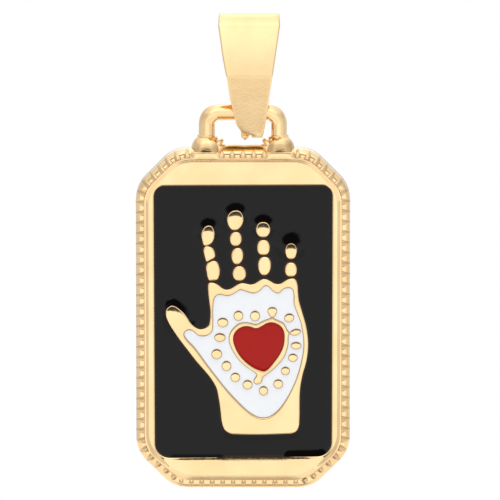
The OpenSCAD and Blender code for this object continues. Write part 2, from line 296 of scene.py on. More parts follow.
def distanceTo(points, lines):  # distance of each point to the nearest closed line, and which line that is
    best = np.full(len(points), 1e9)
    which = np.zeros(len(points), int)
    for number, line in enumerate(lines):
        along = (np.roll(line, -1, 0) - line)[None]
        inside = np.all((points > line.min(0) - farthest) & (points < line.max(0) + farthest), axis=1)
        near = np.nonzero(inside)[0]
        for first in range(0, len(near), 4000):  # in parts, to save memory
            part = near[first:first + 4000]
            away = points[part][:, None, :] - line[None]
            t = np.clip(np.sum(away * along, 2) / np.maximum(np.sum(along * along, 2), 1e-12), 0, 1)
            found = np.sqrt(np.min(np.sum((away - t[..., None] * along) ** 2, 2), 1))
            closer = found < best[part]
            best[part[closer]] = found[closer]
            which[part[closer]] = number
    return best, which


def triangulate(lines, extra):  # fills the closed lines, with extra points inside
    vertices, edges, faces = [], [], []
    for line in lines:
        first = len(vertices)
        vertices += [Vector(p) for p in line]
        n = len(line)
        edges += [(first + i, first + (i + 1) % n) for i in range(n)]
        faces.append([first + i for i in range(n)])
    vertices += [Vector(p) for p in extra]
    points, _, triangles, fromPoint, _, fromFace = delaunay_2d_cdt(vertices, edges, faces, 1, 1e-7)
    newNumber = {source: out for out, sources in enumerate(fromPoint) for source in sources}
    nest = [len(f) for f in fromFace]  # how many of the lines are round each triangle
    return np.array([tuple(p) for p in points]), [list(t) for t in triangles], nest, newNumber


def stepsInside(lines, sides, rows, clear=0.93):  # points at given distances beside lines, off the others
    rings, wanted = [], []
    for line, side in zip(lines, sides):
        for distance, every in rows:
            rings.append((line + side * distance * outward(line))[::every])
            wanted.append(np.full(len(rings[-1]), distance))
    points = np.vstack(rings)
    near, _ = distanceTo(points, lines)
    return points[near > clear * np.concatenate(wanted)]


def gridPoints(line, spacing, lines, clear):  # staggered rows over a closed line, clear of all the lines
    low, high = line.min(0), line.max(0)
    xs = np.arange(low[0] + spacing / 2, high[0], spacing)
    zs = np.arange(low[1] + spacing / 2, high[1], spacing)
    grid = np.array([(x + (spacing / 2 if j % 2 else 0), z) for j, z in enumerate(zs) for x in xs])
    near, _ = distanceTo(grid, lines)
    return grid[near > clear]


def makePiece(name, vertices, faces, sharp=50):  # edges over so many degrees stay sharp
    mesh = bpy.data.meshes.new(name)
    mesh.from_pydata(vertices, [], faces)
    mesh.validate()
    mesh.polygons.foreach_set("use_smooth", [True] * len(mesh.polygons))
    mesh.set_sharp_from_angle(angle=math.radians(sharp))
    return inScene(name, mesh)


def tubeFaces(rings, around, turned=False):  # sides of a tube of rings, then its two ends
    faces = []
    for ring in range(rings - 1):
        for k in range(around):
            a, b = ring * around + k, ring * around + (k + 1) % around
            faces.append([a, a + around, b + around, b] if turned else [a, b, b + around, a + around])
    last = (rings - 1) * around
    return faces + [list(range(around)), list(range(last, last + around))[::-1]]


def joined(parts):
    vertices, faces = [], []
    for some, these in parts:
        first = len(vertices)
        vertices += some
        faces += [[first + i for i in face] for face in these]
    return vertices, faces


def facedOut(piece):      # turns the faces of its closed shells outwards
    shell = bmesh.new()
    shell.from_mesh(piece.data)
    bmesh.ops.recalc_face_normals(shell, faces=shell.faces)
    shell.to_mesh(piece.data)
    shell.free()
    return piece


# Hand: points are from the hand's own reference point, in the middle of the palm
hand = {
    "middle": -23.85,     # height of the reference point
    "scale": 1.0112,
    "fingers": [          # x, z, width, height, wider at the top, lean, squareness
        (-2.79, 6.52, 1.06, 1.67, 0.10, 0.10, 0.95),
        (-2.70, 5.03, 0.92, 1.26, 0.08, 0.12, 0.85),
        (-2.41, 3.69, 1.09, 1.56, -0.08, 0.04, 0.78),
        (-0.61, 7.76, 1.26, 1.62, 0.14, 0.06, 0.95),
        (-0.57, 6.25, 0.90, 1.11, 0.04, 0.02, 0.88),
        (-0.45, 4.88, 0.90, 1.30, 0.10, 0.05, 0.92),
        (-0.29, 3.49, 1.03, 1.17, -0.02, 0.0, 0.92),
        (1.59, 7.015, 1.11, 1.245, 0.06, 0.0, 0.88),
        (1.62, 5.57, 0.96, 1.18, 0.0, 0.0, 0.80),
        (1.70, 4.08, 0.97, 1.46, 0.12, 0.02, 0.86),
        (3.80, 5.30, 0.97, 1.30, 0.08, 0.0, 0.88),
        (3.79, 3.80, 0.90, 1.12, -0.02, 0.0, 0.82),
    ],
    "tips": (0, 3, 7, 10),  # the last pebble of each finger
    "shaped": {           # pebbles of the first finger, drawn through points, clockwise from the top
        0: [(-2.71, 7.36), (-2.44, 7.28), (-2.27, 6.94), (-2.27, 6.51), (-2.38, 6.08), (-2.53, 5.90),
            (-2.74, 5.77), (-2.95, 5.71), (-3.10, 5.79), (-3.19, 6.08), (-3.27, 6.51), (-3.22, 6.94),
            (-3.01, 7.25)],
        1: [(-3.01, 5.62), (-2.68, 5.64), (-2.38, 5.48), (-2.22, 5.10), (-2.24, 4.80), (-2.44, 4.65),
            (-2.68, 4.53), (-2.86, 4.43), (-2.96, 4.67), (-3.07, 5.10), (-3.10, 5.41)],
        2: [(-2.83, 4.26), (-2.62, 4.40), (-2.32, 4.50), (-2.04, 4.39), (-1.89, 4.06), (-1.84, 3.69),
            (-1.89, 3.32), (-2.07, 2.99), (-2.37, 2.94), (-2.65, 2.94), (-2.77, 3.14), (-2.85, 3.57),
            (-2.91, 4.00)],
    },
    "palm": [             # palm, thumb and wrist, clockwise from the foot of the first finger
        (-2.70, 2.70), (-2.50, 2.745), (-2.20, 2.69), (-1.31, 2.18), (-0.12, 2.70), (0.72, 2.60),
        (1.67, 3.04), (2.78, 2.62), (3.65, 3.04), (4.09, 3.04), (4.26, 2.72), (4.33, 2.02), (4.40, 1.37),
        (4.62, 0.575), (4.82, -0.10), (4.98, -0.71), (5.13, -1.83), (5.13, -2.60), (4.99, -3.60),
        (4.70, -4.65), (4.51, -5.75), (4.45, -8.30), (4.41, -8.75), (4.22, -9.15), (3.85, -9.34),
        (3.45, -9.37), (-0.50, -9.41), (-0.95, -9.36), (-1.44, -9.04), (-1.66, -8.42), (-1.756, -7.60),
        (-1.89, -6.63), (-2.14, -5.57), (-3.89, -3.27), (-5.25, -1.44), (-5.86, -0.46), (-6.08, 0.15),
        (-6.02, 0.66), (-5.63, 0.93), (-4.87, 0.50), (-4.40, -0.07), (-4.23, -0.38), (-3.94, -0.71),
        (-3.61, -0.93), (-3.36, -1.00), (-3.09, -0.94), (-2.72, -0.69), (-2.58, -0.15), (-2.565, 0.575),
        (-2.66, 1.376), (-2.73, 2.02), (-2.74, 2.52),
    ],
    "white": [            # the white cell, clockwise from its top left
        (-2.23, 1.63), (-1.86, 1.84), (-1.22, 1.73), (-0.76, 1.90), (-0.21, 2.21), (0.34, 2.06),
        (0.89, 1.95), (1.35, 2.18), (1.67, 2.50), (1.99, 2.50), (2.36, 2.14), (2.78, 1.94), (3.18, 2.27),
        (3.55, 2.37), (3.92, 2.27), (4.06, 1.77), (4.06, 1.13), (4.34, 0.30), (4.61, -0.43), (4.84, -2.08),
        (4.74, -3.18), (4.10, -5.38), (2.91, -7.40), (2.18, -8.00), (1.54, -8.14), (0.89, -7.95),
        (-0.76, -6.49), (-2.69, -4.10), (-3.89, -2.45), (-4.62, -1.62), (-4.71, -1.34), (-4.43, -1.02),
        (-3.98, -1.06), (-3.52, -1.43), (-2.97, -1.48), (-2.50, -1.16), (-2.42, -0.51), (-2.42, 0.58),
    ],
    "dotsLess": (0.06, 0.05),  # taken off the width and the height of every dot
    "dots": [             # x, z, width, height, wider at the top, lean, squareness, turn
        (-1.60, -0.44, 0.80, 0.70), (-0.36, 0.10, 0.70, 0.76), (0.95, 0.08, 0.72, 0.78),
        (2.32, 0.38, 0.66, 0.78, 0.35), (3.65, -0.07, 0.74, 0.64, 0, 0, 1, 25),
        (4.15, -1.22, 0.86, 0.46, 0, 0, 1.15, 14), (4.20, -2.30, 0.78, 0.54), (3.95, -3.27, 0.70, 0.60),
        (3.36, -4.33, 0.64, 0.62), (2.79, -5.38, 0.70, 0.70), (1.62, -5.92, 0.66, 0.70),
        (0.36, -5.44, 0.72, 0.70), (-0.61, -4.85, 0.70, 0.70), (-1.31, -3.93, 0.70, 0.76),
        (-2.08, -2.98, 0.78, 0.76), (-1.83, -1.64, 0.84, 0.64),
    ],
    "heartFrame": [       # outside of the metal line round the heart, with its peak, its spur and its drop
        (1.01, -0.63), (1.62, -0.35), (2.08, -0.18), (2.31, -0.10), (2.50, -0.19), (2.75, -0.31),
        (3.17, -0.52), (3.45, -1.02), (3.58, -1.20), (3.62, -1.30), (3.57, -1.45), (3.54, -1.81),
        (3.54, -2.15), (3.42, -2.66), (3.20, -3.22), (2.75, -3.78), (2.24, -4.28), (1.79, -4.62),
        (1.53, -4.84), (1.47, -5.05), (1.42, -5.22), (1.23, -5.35), (0.96, -5.31), (0.89, -5.12),
        (1.02, -4.86), (1.13, -4.66), (1.01, -4.47), (0.50, -4.11), (-0.11, -3.61), (-0.56, -3.05),
        (-0.90, -2.43), (-1.08, -1.81), (-1.03, -1.42), (-0.78, -0.97), (-0.28, -0.57), (0.17, -0.48),
        (0.67, -0.55),
    ],
    "heart": [            # clockwise from the notch
        (1.01, -0.89), (1.51, -0.69), (1.85, -0.49), (2.19, -0.42), (2.64, -0.50), (3.03, -0.76),
        (3.26, -1.19), (3.30, -1.66), (3.20, -2.38), (2.92, -2.99), (2.53, -3.55), (2.10, -4.08),
        (1.82, -4.32), (1.64, -4.38), (1.46, -4.34), (1.02, -4.18), (0.50, -3.86), (-0.17, -3.22),
        (-0.56, -2.60), (-0.78, -1.92), (-0.76, -1.47), (-0.50, -1.04), (-0.14, -0.80), (0.28, -0.72),
        (0.67, -0.78),
    ],
}
field = {
    "wide": 14.33, "high": 22.065, "drop": 2.89, "shift": 0.012,
    "round": (0.86, 1.2),        # upper and lower corners
    "narrower": (0.075, -0.044),  # how far the left and the right side come in towards the foot
    "rise": (0.004, 0.009),      # slope of the upper and the lower side
}
fieldMid = -place["bodyTop"] - field["drop"] - field["high"] / 2
lineSteps = {"cells": 0.12, "frame": 0.08, "heart": 0.09, "finger": 0.09, "dot": 0.07}  # from point to point


def ofHand(points, kind=None):  # from the hand's own points to the face, in even steps where a kind is given
    line = np.array(points, float) * hand["scale"] + np.array([0, hand["middle"]])
    return evenly(line, lineSteps[kind]) if kind else line


fieldLine = evenly(roundedBox(field["wide"], field["high"], fieldMid, field["round"]), lineSteps["cells"])
fieldLine += np.array([field["shift"], 0])
towardFoot = 0.5 - (fieldLine[:, 1] - fieldMid) / field["high"]
comeIn = np.where(fieldLine[:, 0] < 0, field["narrower"][0], field["narrower"][1])
rise = field["rise"][0] * (1 - towardFoot) + field["rise"][1] * towardFoot
fieldLine += np.stack([towardFoot * comeIn, fieldLine[:, 0] * rise], 1)
palmLine = ofHand(smoothLine(hand["palm"]), "cells")
whiteLine = ofHand(smoothLine(hand["white"]), "cells")
frameLine = ofHand(smoothLine(hand["heartFrame"]), "frame")
heartLine = ofHand(smoothLine(hand["heart"]), "heart")
fingerLines = []
for number, row in enumerate(hand["fingers"]):
    shaped = hand["shaped"].get(number)
    fingerLines.append(ofHand(smoothLine(shaped) if shaped else pebbleLine(*row), "finger"))
dotLines = []
for x, z, wide, high, *rest in hand["dots"]:
    less = hand["dotsLess"]
    dotLines.append(ofHand(pebbleLine(x, z, wide - less[0], high - less[1], *rest), "dot"))


# Body: rings of points round the outline, the same number in each, with softer corners towards the inside
def cornerCentres(rounding):
    wide, high = place["bodyWide"] / 2, place["bodyHigh"] / 2
    slant = (wide + high - place["cornerCut"]) / math.sqrt(2)
    reach = [(wide, slant, high, slant)[k % 4] - rounding for k in range(9)]  # of the sides, all round
    centres = []
    for k in range(8):
        turn = math.radians(45 * k)
        far = (reach[k + 1] - reach[k] * math.cos(math.radians(45))) / math.sin(math.radians(45))
        centres.append(reach[k] * direction(turn) + far * direction(turn + math.pi / 2))
    return centres


def bodyRing(inset, arcSteps=9, spacing=0.55):  # steps of each corner, spacing along the sides
    first, last = place["easeOver"]
    ease = min(max((inset - first) / (last - first), 0), 1)
    rounding = place["cornerRound"] + place["cornerEase"] * ease
    outer, centres = cornerCentres(place["cornerRound"]), cornerCentres(rounding)
    line = []
    for k in range(8):
        radius = rounding - inset
        for j in range(arcSteps):
            line.append(centres[k] + radius * direction(math.radians(45 * (k + j / arcSteps))))
        normal = direction(math.radians(45 * (k + 1)))
        start, end = centres[k], centres[(k + 1) % 8]
        parts = max(2, round(np.linalg.norm(outer[(k + 1) % 8] - outer[k]) / spacing))
        for j in range(parts):
            line.append(start + (end - start) * j / parts + radius * normal)
    return np.array(line) + np.array([0, bodyMid])


rimSection = [            # from the crease of the flat bezel outwards: inset, depth, depth along the foot
    (1.07, 0.95, 0.95), (1.03, 0.954, 0.943), (0.985, 0.972, 0.929), (0.92, 1.03, 0.908),
    (0.85, 1.095, 0.884), (0.80, 1.133, 0.867), (0.77, 1.147, 0.856), (0.73, 1.152, 0.841),
    (0.69, 1.15, 0.826), (0.67, 1.14, 0.819), (0.655, 1.08, 0.815), (0.645, 1.01, 0.813),
    (0.63, 0.992, 0.812), (0.58, 0.99, 0.812), (0.50, 0.99, 0.812), (0.415, 0.989, 0.812),
    (0.335, 0.98, 0.809), (0.28, 0.957, 0.792), (0.20, 0.905, 0.75), (0.12, 0.83, 0.69),
    (0.055, 0.74, 0.62), (0.018, 0.64, 0.55), (0.004, 0.50, 0.47), (0.0, 0.30, 0.30), (0.0, -0.62, -0.62),
    (0.02, -0.72, -0.72), (0.07, -0.80, -0.80), (0.16, -0.845, -0.845), (0.24, -0.85, -0.85),
]


footBlend = (2.6, 1.7)    # the rim starts to change this far above its foot, and has changed this much lower


def alongFoot(z):         # 0 beside the body, 1 along its foot
    start, over = footBlend
    return eased(np.clip((bodyMid - place["bodyHigh"] / 2 + start - z) / over, 0, 1))


edgeShape = {             # softness of the relief's top edges: width, drop, power
    "bezel": (0.10, 0.05, 1.3),
    "sill": (0.28, 0.036, 1.95),  # the bezel under the field, towards the corners
    "sillMiddle": (0.42, 0.0373, 1.69),
    "palm": (0.075, 0.045, 1.3),
    "white": (0.10, 0.03, 1.8),
    "finger": (0.105, 0.07, 1.5),
    "dot": (0.10, 0.009, 2.0),
    "line": (0.06, 0.02, 1.8),
}
sill = {                  # where the sill and its middle are, with how far each takes to fade
    "above": 0.55, "fadeUp": 0.5, "half": 6.2, "fadeAside": 1.2,
    "middle": 0.9, "middleHalf": 3.2, "middleFade": 0.8,
}
fingertip = {
    "reach": 0.49,        # the slope starts this far under the top of the pebble
    "arch": 0.55,         # and bends down to both sides
    "slope": 0.085,
    "steepen": 0.085,
    "within": 0.6,        # part of the pebble's size, from its middle, in which the slope counts
}
thumbTip = {
    "middle": (-5.75, -1.35),
    "radius": 1.80,       # the slope starts this far from the middle
    "within": 2.6,        # and ends here
    "from": 18,           # degrees
    "to": 125,
    "fade": 25,
    "slope": 0.09,
    "steepen": 0.10,
}


def tipDrop(points):  # slope at the end of each finger, from an arched line on, and on the thumb's upper side
    own = (points - np.array([0, hand["middle"]])) / hand["scale"]
    drop = np.zeros(len(points))
    for number in hand["tips"]:
        x, z, wide, high = hand["fingers"][number][:4]
        at = own - np.array([x, z])
        inside = np.all(np.abs(at) < np.array([wide, high]) * fingertip["within"], axis=1)
        past = at[:, 1] - (high / 2 - fingertip["reach"] - fingertip["arch"] * at[:, 0] ** 2)
        past = np.where(inside, np.maximum(past, 0), 0)
        drop += fingertip["slope"] * past + fingertip["steepen"] * past ** 2
    at = own - np.array(thumbTip["middle"])
    far = np.linalg.norm(at, axis=1)
    turn = np.degrees(np.arctan2(at[:, 1], at[:, 0]))
    part = np.clip(np.minimum(turn - thumbTip["from"], thumbTip["to"] - turn) / thumbTip["fade"], 0, 1)
    past = np.where(far < thumbTip["within"], np.maximum(far - thumbTip["radius"], 0), 0)
    return drop + part * (thumbTip["slope"] * past + thumbTip["steepen"] * past ** 2)


faceSteps = {             # how finely the face is divided
    "edge": (0.12, 0.3, 0.52, 0.76, 0.96, 1.0, 1.04, 1.4),  # rows beside a line, in parts of its edge's width
    "line": (0.52, 1.0),  # the same beside the thin line round the heart
    "sill": (0.36, 0.48, 0.6, 0.72, 0.86, 1.0, 1.1),
    "fingertip": (0.055, 0.19),  # spacing of a grid, distance that it keeps from the lines
    "thumb": (0.07, 0.2),
    "face": (0.9, 0.35),
    "thumbArea": [(-6.3, -0.9), (-4.3, -0.9), (-4.3, 1.0), (-6.3, 1.0)],
    "nearCrease": (1.12, 1.22),  # insets of two rings that keep the rounding of the crease close to it
    "creaseClear": 0.04,  # distance that they keep from the lines
    "ownLine": 0.97,      # a point goes if another line is nearer than this part of its distance to its own
}


def fieldOfPoints(named, lines):  # points between the lines of the face
    extra = []
    for kind, line, side in named[1:]:
        parts = faceSteps["line" if kind == "line" else "edge"]
        rows = [(edgeShape[kind][0] * part, 1) for part in parts]
        if kind == "bezel":
            rows += [(edgeShape["sillMiddle"][0] * part, 1) for part in faceSteps["sill"]]
        ring = stepsInside([line], [side], rows)
        near, _ = distanceTo(ring, lines)
        mine, _ = distanceTo(ring, [line])
        extra.append(ring[near > faceSteps["ownLine"] * mine])
    areas = [(fingerLines[number], "fingertip") for number in hand["tips"]]
    areas += [(ofHand(faceSteps["thumbArea"]), "thumb"), (lines[0], "face")]
    for area, kind in areas:
        spacing, clear = faceSteps[kind]
        extra.append(gridPoints(area, spacing, lines, clear))
    for inset in faceSteps["nearCrease"]:
        ring = bodyRing(inset)
        near, _ = distanceTo(ring, lines)
        extra.append(ring[near > faceSteps["creaseClear"]])
    return np.vstack(extra)


def dropAt(points, named):  # how far the metal lies under the flat of the bezel
    near, which = distanceTo(points, [line for _, line, _ in named[1:]])
    kinds = [kind for kind, _, _ in named[1:]]
    foot = fieldMid - field["high"] / 2
    aside = np.abs(points[:, 0])
    under = np.clip((foot + sill["above"] - points[:, 1]) / sill["fadeUp"], 0, 1)
    under *= np.clip((sill["half"] - aside) / sill["fadeAside"], 0, 1)
    fromMiddle = np.abs(points[:, 0] - sill["middle"])
    middle = np.clip((sill["middleHalf"] - fromMiddle) / sill["middleFade"], 0, 1)
    parts = {"bezel": 1 - under, "sill": under * (1 - middle), "sillMiddle": under * middle}
    drop = np.zeros(len(points))
    for kind, (width, fall, power) in edgeShape.items():
        own = np.array([kinds[w] == ("bezel" if kind in parts else kind) for w in which])
        part = parts.get(kind, np.ones(len(points)))
        drop += np.where(own, part * fall * np.maximum(1 - near / width, 0) ** power, 0)
    return drop + tipDrop(points)


def makePlate():
    crease = bodyRing(rimSection[0][0])
    named = [("crease", crease, 0), ("bezel", fieldLine, 1), ("palm", palmLine, -1), ("white", whiteLine, 1)]
    named += [("finger", line, -1) for line in fingerLines]
    named += [("dot", line, -1) for line in dotLines]
    named += [("line", frameLine, -1), ("line", heartLine, 1)]
    lines = [line for _, line, _ in named]
    points, triangles, nest, numberOf = triangulate(lines, fieldOfPoints(named, lines))
    drop = dropAt(points, named)
    vertices, faces, top, low = [], [], {}, {}

    def topOf(i):
        if i not in top:
            top[i] = len(vertices)
            vertices.append(spot(points[i][0], points[i][1], place["bezel"] - drop[i]))
        return top[i]

    def lowOf(i):
        if i not in low:
            low[i] = len(vertices)
            vertices.append(spot(points[i][0], points[i][1], place["floor"]))
        return low[i]

    border = set()        # edges of the metal
    for triangle, count in zip(triangles, nest):
        isMetal = count % 2 == 1
        faces.append([topOf(i) if isMetal else lowOf(i) for i in triangle])
        if isMetal:
            border |= {(triangle[j], triangle[(j + 1) % 3]) for j in range(3)}
    creaseIds = [numberOf[i] for i in range(len(crease))]
    outer = {(creaseIds[i], creaseIds[(i + 1) % len(crease)]) for i in range(len(crease))}
    for a, b in border:
        if (b, a) not in border and (a, b) not in outer:
            faces.append([topOf(a), lowOf(a), lowOf(b), topOf(b)])  # wall of a cell
    row = [topOf(i) for i in creaseIds]
    n = len(row)
    for inset, depth, footDepth in rimSection[1:]:
        following = list(range(len(vertices), len(vertices) + n))
        vertices += [spot(x, z, depth + (footDepth - depth) * alongFoot(z)) for x, z in bodyRing(inset)]
        for i in range(n):
            j = (i + 1) % n
            faces.append([following[i], following[j], row[j], row[i]])
        row = following
    faces.append(row[::-1])
    return makePiece("plateBody", vertices, faces)


plateBody = makePlate()
print("plate body ready", len(plateBody.data.polygons))


# Enamel: poured into its cell, with an edge that climbs the walls
enamel = {
    "level": 0.80,        # depth of the flat surface
    "slope": 0.165,       # how steeply the edge climbs where the enamel was poured full
    "least": 0.22,        # part of that slope elsewhere
    "reach": (0.10, 1.05),  # distances over which it flattens
    "gap": 0.008,
    "base": 0.47,
    "full": [             # x, z, reach, wider, steep: past the thumb, beside the wrist and at the foot
        (-4.95, -23.75, 1.5, 1.0, 1.0), (5.0, -35.6, 1.7, 1.0, 1.0), (-3.7, -35.6, 2.2, 0.8, 0.6),
    ],
    "tips": (1.0, 1.0, 1.0, 1.45),  # how much wider the pool past each fingertip is
    "tipReach": (1.0, 0.25),  # its reach, and what is added for each unit of "tips"
    "pastTip": 0.1,
    "fade": 0.5,          # width of the edge of a pool
    "rows": [             # distance of a row of points from the walls, every how many points of the wall
        (0.03, 1), (0.08, 1), (0.14, 1), (0.22, 1), (0.31, 2), (0.40, 2), (0.48, 2), (0.57, 3), (0.67, 4),
        (0.82, 5),
    ],
    "grid": (0.55, 0.9),  # spacing further out, and its distance from the walls
    "wallReflectionLess": 0.2,       # how much less far the painted reflection of the wall reaches where the enamel was poured full
    "small": 0.4,         # how wide it is in the white and the red cell, alike all round
}
pools = list(enamel["full"])
for number, wider in zip(hand["tips"], enamel["tips"]):
    x, z, _, high = hand["fingers"][number][:4]
    pools.append((x * hand["scale"], hand["middle"] + (z + 0.5 * high) * hand["scale"] + enamel["pastTip"],
                  enamel["tipReach"][0] + enamel["tipReach"][1] * wider, wider, 1.0))


def climbOf(distance, values, size, part):  # even slope beside the wall, flattening further out
    near, far = values["reach"]
    steps = np.linspace(0, far, 200)
    bent = 0.5 + 0.5 * np.cos(np.pi * (steps - near) / (far - near))
    slope = np.where(steps < near, 1.0, bent) * values["slope"]
    height = np.concatenate([[0], np.cumsum(0.5 * (slope[1:] + slope[:-1]) * np.diff(steps))])
    return part * size * (height[-1] - np.interp(distance / size, steps, height))


def poolAt(points, values):  # how far the edge reaches and how steep it is, at each point
    size, part = np.ones(len(points)), np.full(len(points), values["least"])
    for x, z, reach, wider, steep in pools:
        away = np.linalg.norm(points - np.array([x, z]), axis=1)
        near = eased(np.clip((reach + values["fade"] / 2 - away) / values["fade"], 0, 1))
        size = np.where(near > 0, size + (wider - size) * near, size)
        part = np.maximum(part, values["least"] + (steep - values["least"]) * near)
    return size, part


def makeEnamel(name, outer, holes, values, size=None):  # without a size, the pools set the edge
    lines = [outer - values["gap"] * outward(outer)]
    lines += [line + values["gap"] * outward(line) for line in holes]
    sides = [-1] + [1] * len(holes)
    spacing, clear = values["grid"]
    extra = np.vstack([stepsInside(lines, sides, values["rows"]), gridPoints(outer, spacing, lines, clear)])
    points, triangles, nest, numberOf = triangulate(lines, extra)
    near, _ = distanceTo(points, lines)
    if size is None:
        size, part = poolAt(points, values)
        full = (part - values["least"]) / (1 - values["least"])
    else:
        part, full = 1.0, 0.0
    rise = climbOf(near, values, size, part)
    vertices = [spot(x, z, values["level"] + up) for (x, z), up in zip(points, rise)]
    faces = [list(t) for t, count in zip(triangles, nest) if count == 1]
    floorPoints, floorTriangles, floorNest, floorNumberOf = triangulate(lines, np.zeros((0, 2)))
    first = len(vertices)
    vertices += [spot(x, z, values["base"]) for x, z in floorPoints]
    faces += [[first + i for i in t[::-1]] for t, count in zip(floorTriangles, floorNest) if count == 1]
    start = 0
    for number, line in enumerate(lines):
        n = len(line)
        for i in range(n):
            a, b = start + i, start + (i + 1) % n
            if number > 0:
                a, b = b, a
            faces.append([numberOf[b], numberOf[a], first + floorNumberOf[a], first + floorNumberOf[b]])
        start += n
    piece = makePiece(name, vertices, faces, sharp=40)
    fromWall = np.zeros(len(vertices))  # millimetres from the metal, by which the material paints the wall's reflection
    fromWall[:first] = near + values["wallReflectionLess"] * full
    piece.data.attributes.new("wall", "FLOAT", "POINT").data.foreach_set("value", fromWall)
    return piece


blackEnamel = makeEnamel("blackEnamel", fieldLine, [palmLine] + fingerLines, enamel)
whiteEnamel = makeEnamel("whiteEnamel", whiteLine, dotLines + [frameLine], enamel, enamel["small"])
redEnamel = makeEnamel("redEnamel", heartLine, [], enamel, enamel["small"])
print("enamel ready", len(blackEnamel.data.polygons), len(whiteEnamel.data.polygons))


# Ribs: one tree sets bars across a path, and is used for the rim and for the teeth beside the balls
ribs = {
    "pitch": 0.837,
    "wide": 0.50,
    "thick": 0.17,
    "path": 0.27,         # path that they stand on, from the outline inwards
    "inset": 0.20,        # the same, counted from the outer end of a rib
    "inward": 0.82,       # half widths of the arch that a rib follows
    "forward": 0.585,
    "from": -12,          # degrees, where the arch starts
    "sweep": 87,          # degrees of the arch
    "points": (7, 8),     # along the arch and round the bar
    "depth": 0.50,        # depth of the path
    "fall": 0.20,         # how much less deep it lies along the foot
    "footHalf": 5.0,      # half length of the run along the foot
    "atFoot": {"wide": 0.36, "inward": 0.36, "sweep": 150},
    "between": 1.72,      # half length of the short run between the balls
    "start": 4.42,        # start of the long run round the body, from the top middle
    "short": 0.09,        # the long run stops this much earlier on the other side
    "variation": 0.09,    # of their widths
    "seed": 4,
}


def makeRibTree(values):
    tree = bpy.data.node_groups.new("ribsAcrossPath", "GeometryNodeTree")
    tree.interface.new_socket("Path", in_out="INPUT", socket_type="NodeSocketGeometry")
    for name in ("Pitch", "Wide", "Thick", "Inset", "Inward", "Forward", "Sweep", "Variation"):
        tree.interface.new_socket(name, in_out="INPUT", socket_type="NodeSocketFloat")
    tree.interface.new_socket("Seed", in_out="INPUT", socket_type="NodeSocketInt")
    tree.interface.new_socket("Finish", in_out="INPUT", socket_type="NodeSocketMaterial")
    tree.interface.new_socket("Ribs", in_out="OUTPUT", socket_type="NodeSocketGeometry")
    given = addNode(tree, "NodeGroupInput").outputs
    path = addNode(tree, "GeometryNodeMeshToCurve", {"Mesh": given["Path"]})
    length = addNode(tree, "GeometryNodeSplineLength")
    parts = addNode(tree, "ShaderNodeMath", {
        0: length.outputs["Length"], 1: given["Pitch"]}, operation="DIVIDE")
    parts = addNode(tree, "ShaderNodeMath", {0: parts}, operation="ROUND")
    count = addNode(tree, "ShaderNodeMath", {0: parts, 1: 1.0}, operation="ADD")
    even = addNode(tree, "GeometryNodeResampleCurve", {"Curve": path, "Count": count}, mode="COUNT")
    arc = addNode(tree, "GeometryNodeCurveArc", {
        "Resolution": values["points"][0], "Radius": 1.0, "Start Angle": math.radians(values["from"]),
        "Sweep Angle": given["Sweep"]}, mode="RADIUS")
    reach = addNode(tree, "ShaderNodeCombineXYZ", {0: given["Inward"], 1: given["Forward"], 2: 1.0})
    sized = addNode(tree, "GeometryNodeTransform", {"Geometry": arc, "Scale": reach})
    back = addNode(tree, "ShaderNodeMath", {0: given["Inset"], 1: given["Inward"]}, operation="SUBTRACT")
    shift = addNode(tree, "ShaderNodeCombineXYZ", {0: 0.0, 1: back, 2: 0.0})
    stood = addNode(tree, "GeometryNodeTransform", {
        "Geometry": sized, "Translation": shift, "Rotation": (math.pi / 2, 0, math.pi / 2)})
    circle = addNode(tree, "GeometryNodeCurvePrimitiveCircle", {
        "Resolution": values["points"][1], "Radius": 0.5})
    bar = addNode(tree, "ShaderNodeCombineXYZ", {0: given["Wide"], 1: given["Thick"], 2: 1.0})
    section = addNode(tree, "GeometryNodeTransform", {"Geometry": circle, "Scale": bar})
    rib = addNode(tree, "GeometryNodeCurveToMesh", {
        "Curve": stood, "Profile Curve": section, "Fill Caps": True})
    along = addNode(tree, "GeometryNodeInputTangent")
    turn = addNode(tree, "FunctionNodeAxesToRotation", {
        0: (0, -1, 0), 1: along}, primary_axis="Z", secondary_axis="X")
    least = addNode(tree, "ShaderNodeMath", {0: 1.0, 1: given["Variation"]}, operation="SUBTRACT")
    most = addNode(tree, "ShaderNodeMath", {0: 1.0, 1: given["Variation"]}, operation="ADD")
    size = addNode(tree, "FunctionNodeRandomValue", {
        2: least, 3: most, "Seed": given["Seed"]}, data_type="FLOAT")
    scale = addNode(tree, "ShaderNodeCombineXYZ", {0: size.outputs[1], 1: 1.0, 2: 1.0})
    placed = addNode(tree, "GeometryNodeInstanceOnPoints", {
        "Points": even, "Instance": rib, "Rotation": turn, "Scale": scale})
    real = addNode(tree, "GeometryNodeRealizeInstances", {0: placed})
    smooth = addNode(tree, "GeometryNodeSetShadeSmooth", {"Geometry": real})
    finish = addNode(tree, "GeometryNodeSetMaterial", {"Geometry": smooth, "Material": given["Finish"]})
    addNode(tree, "NodeGroupOutput", {0: finish})
    return tree


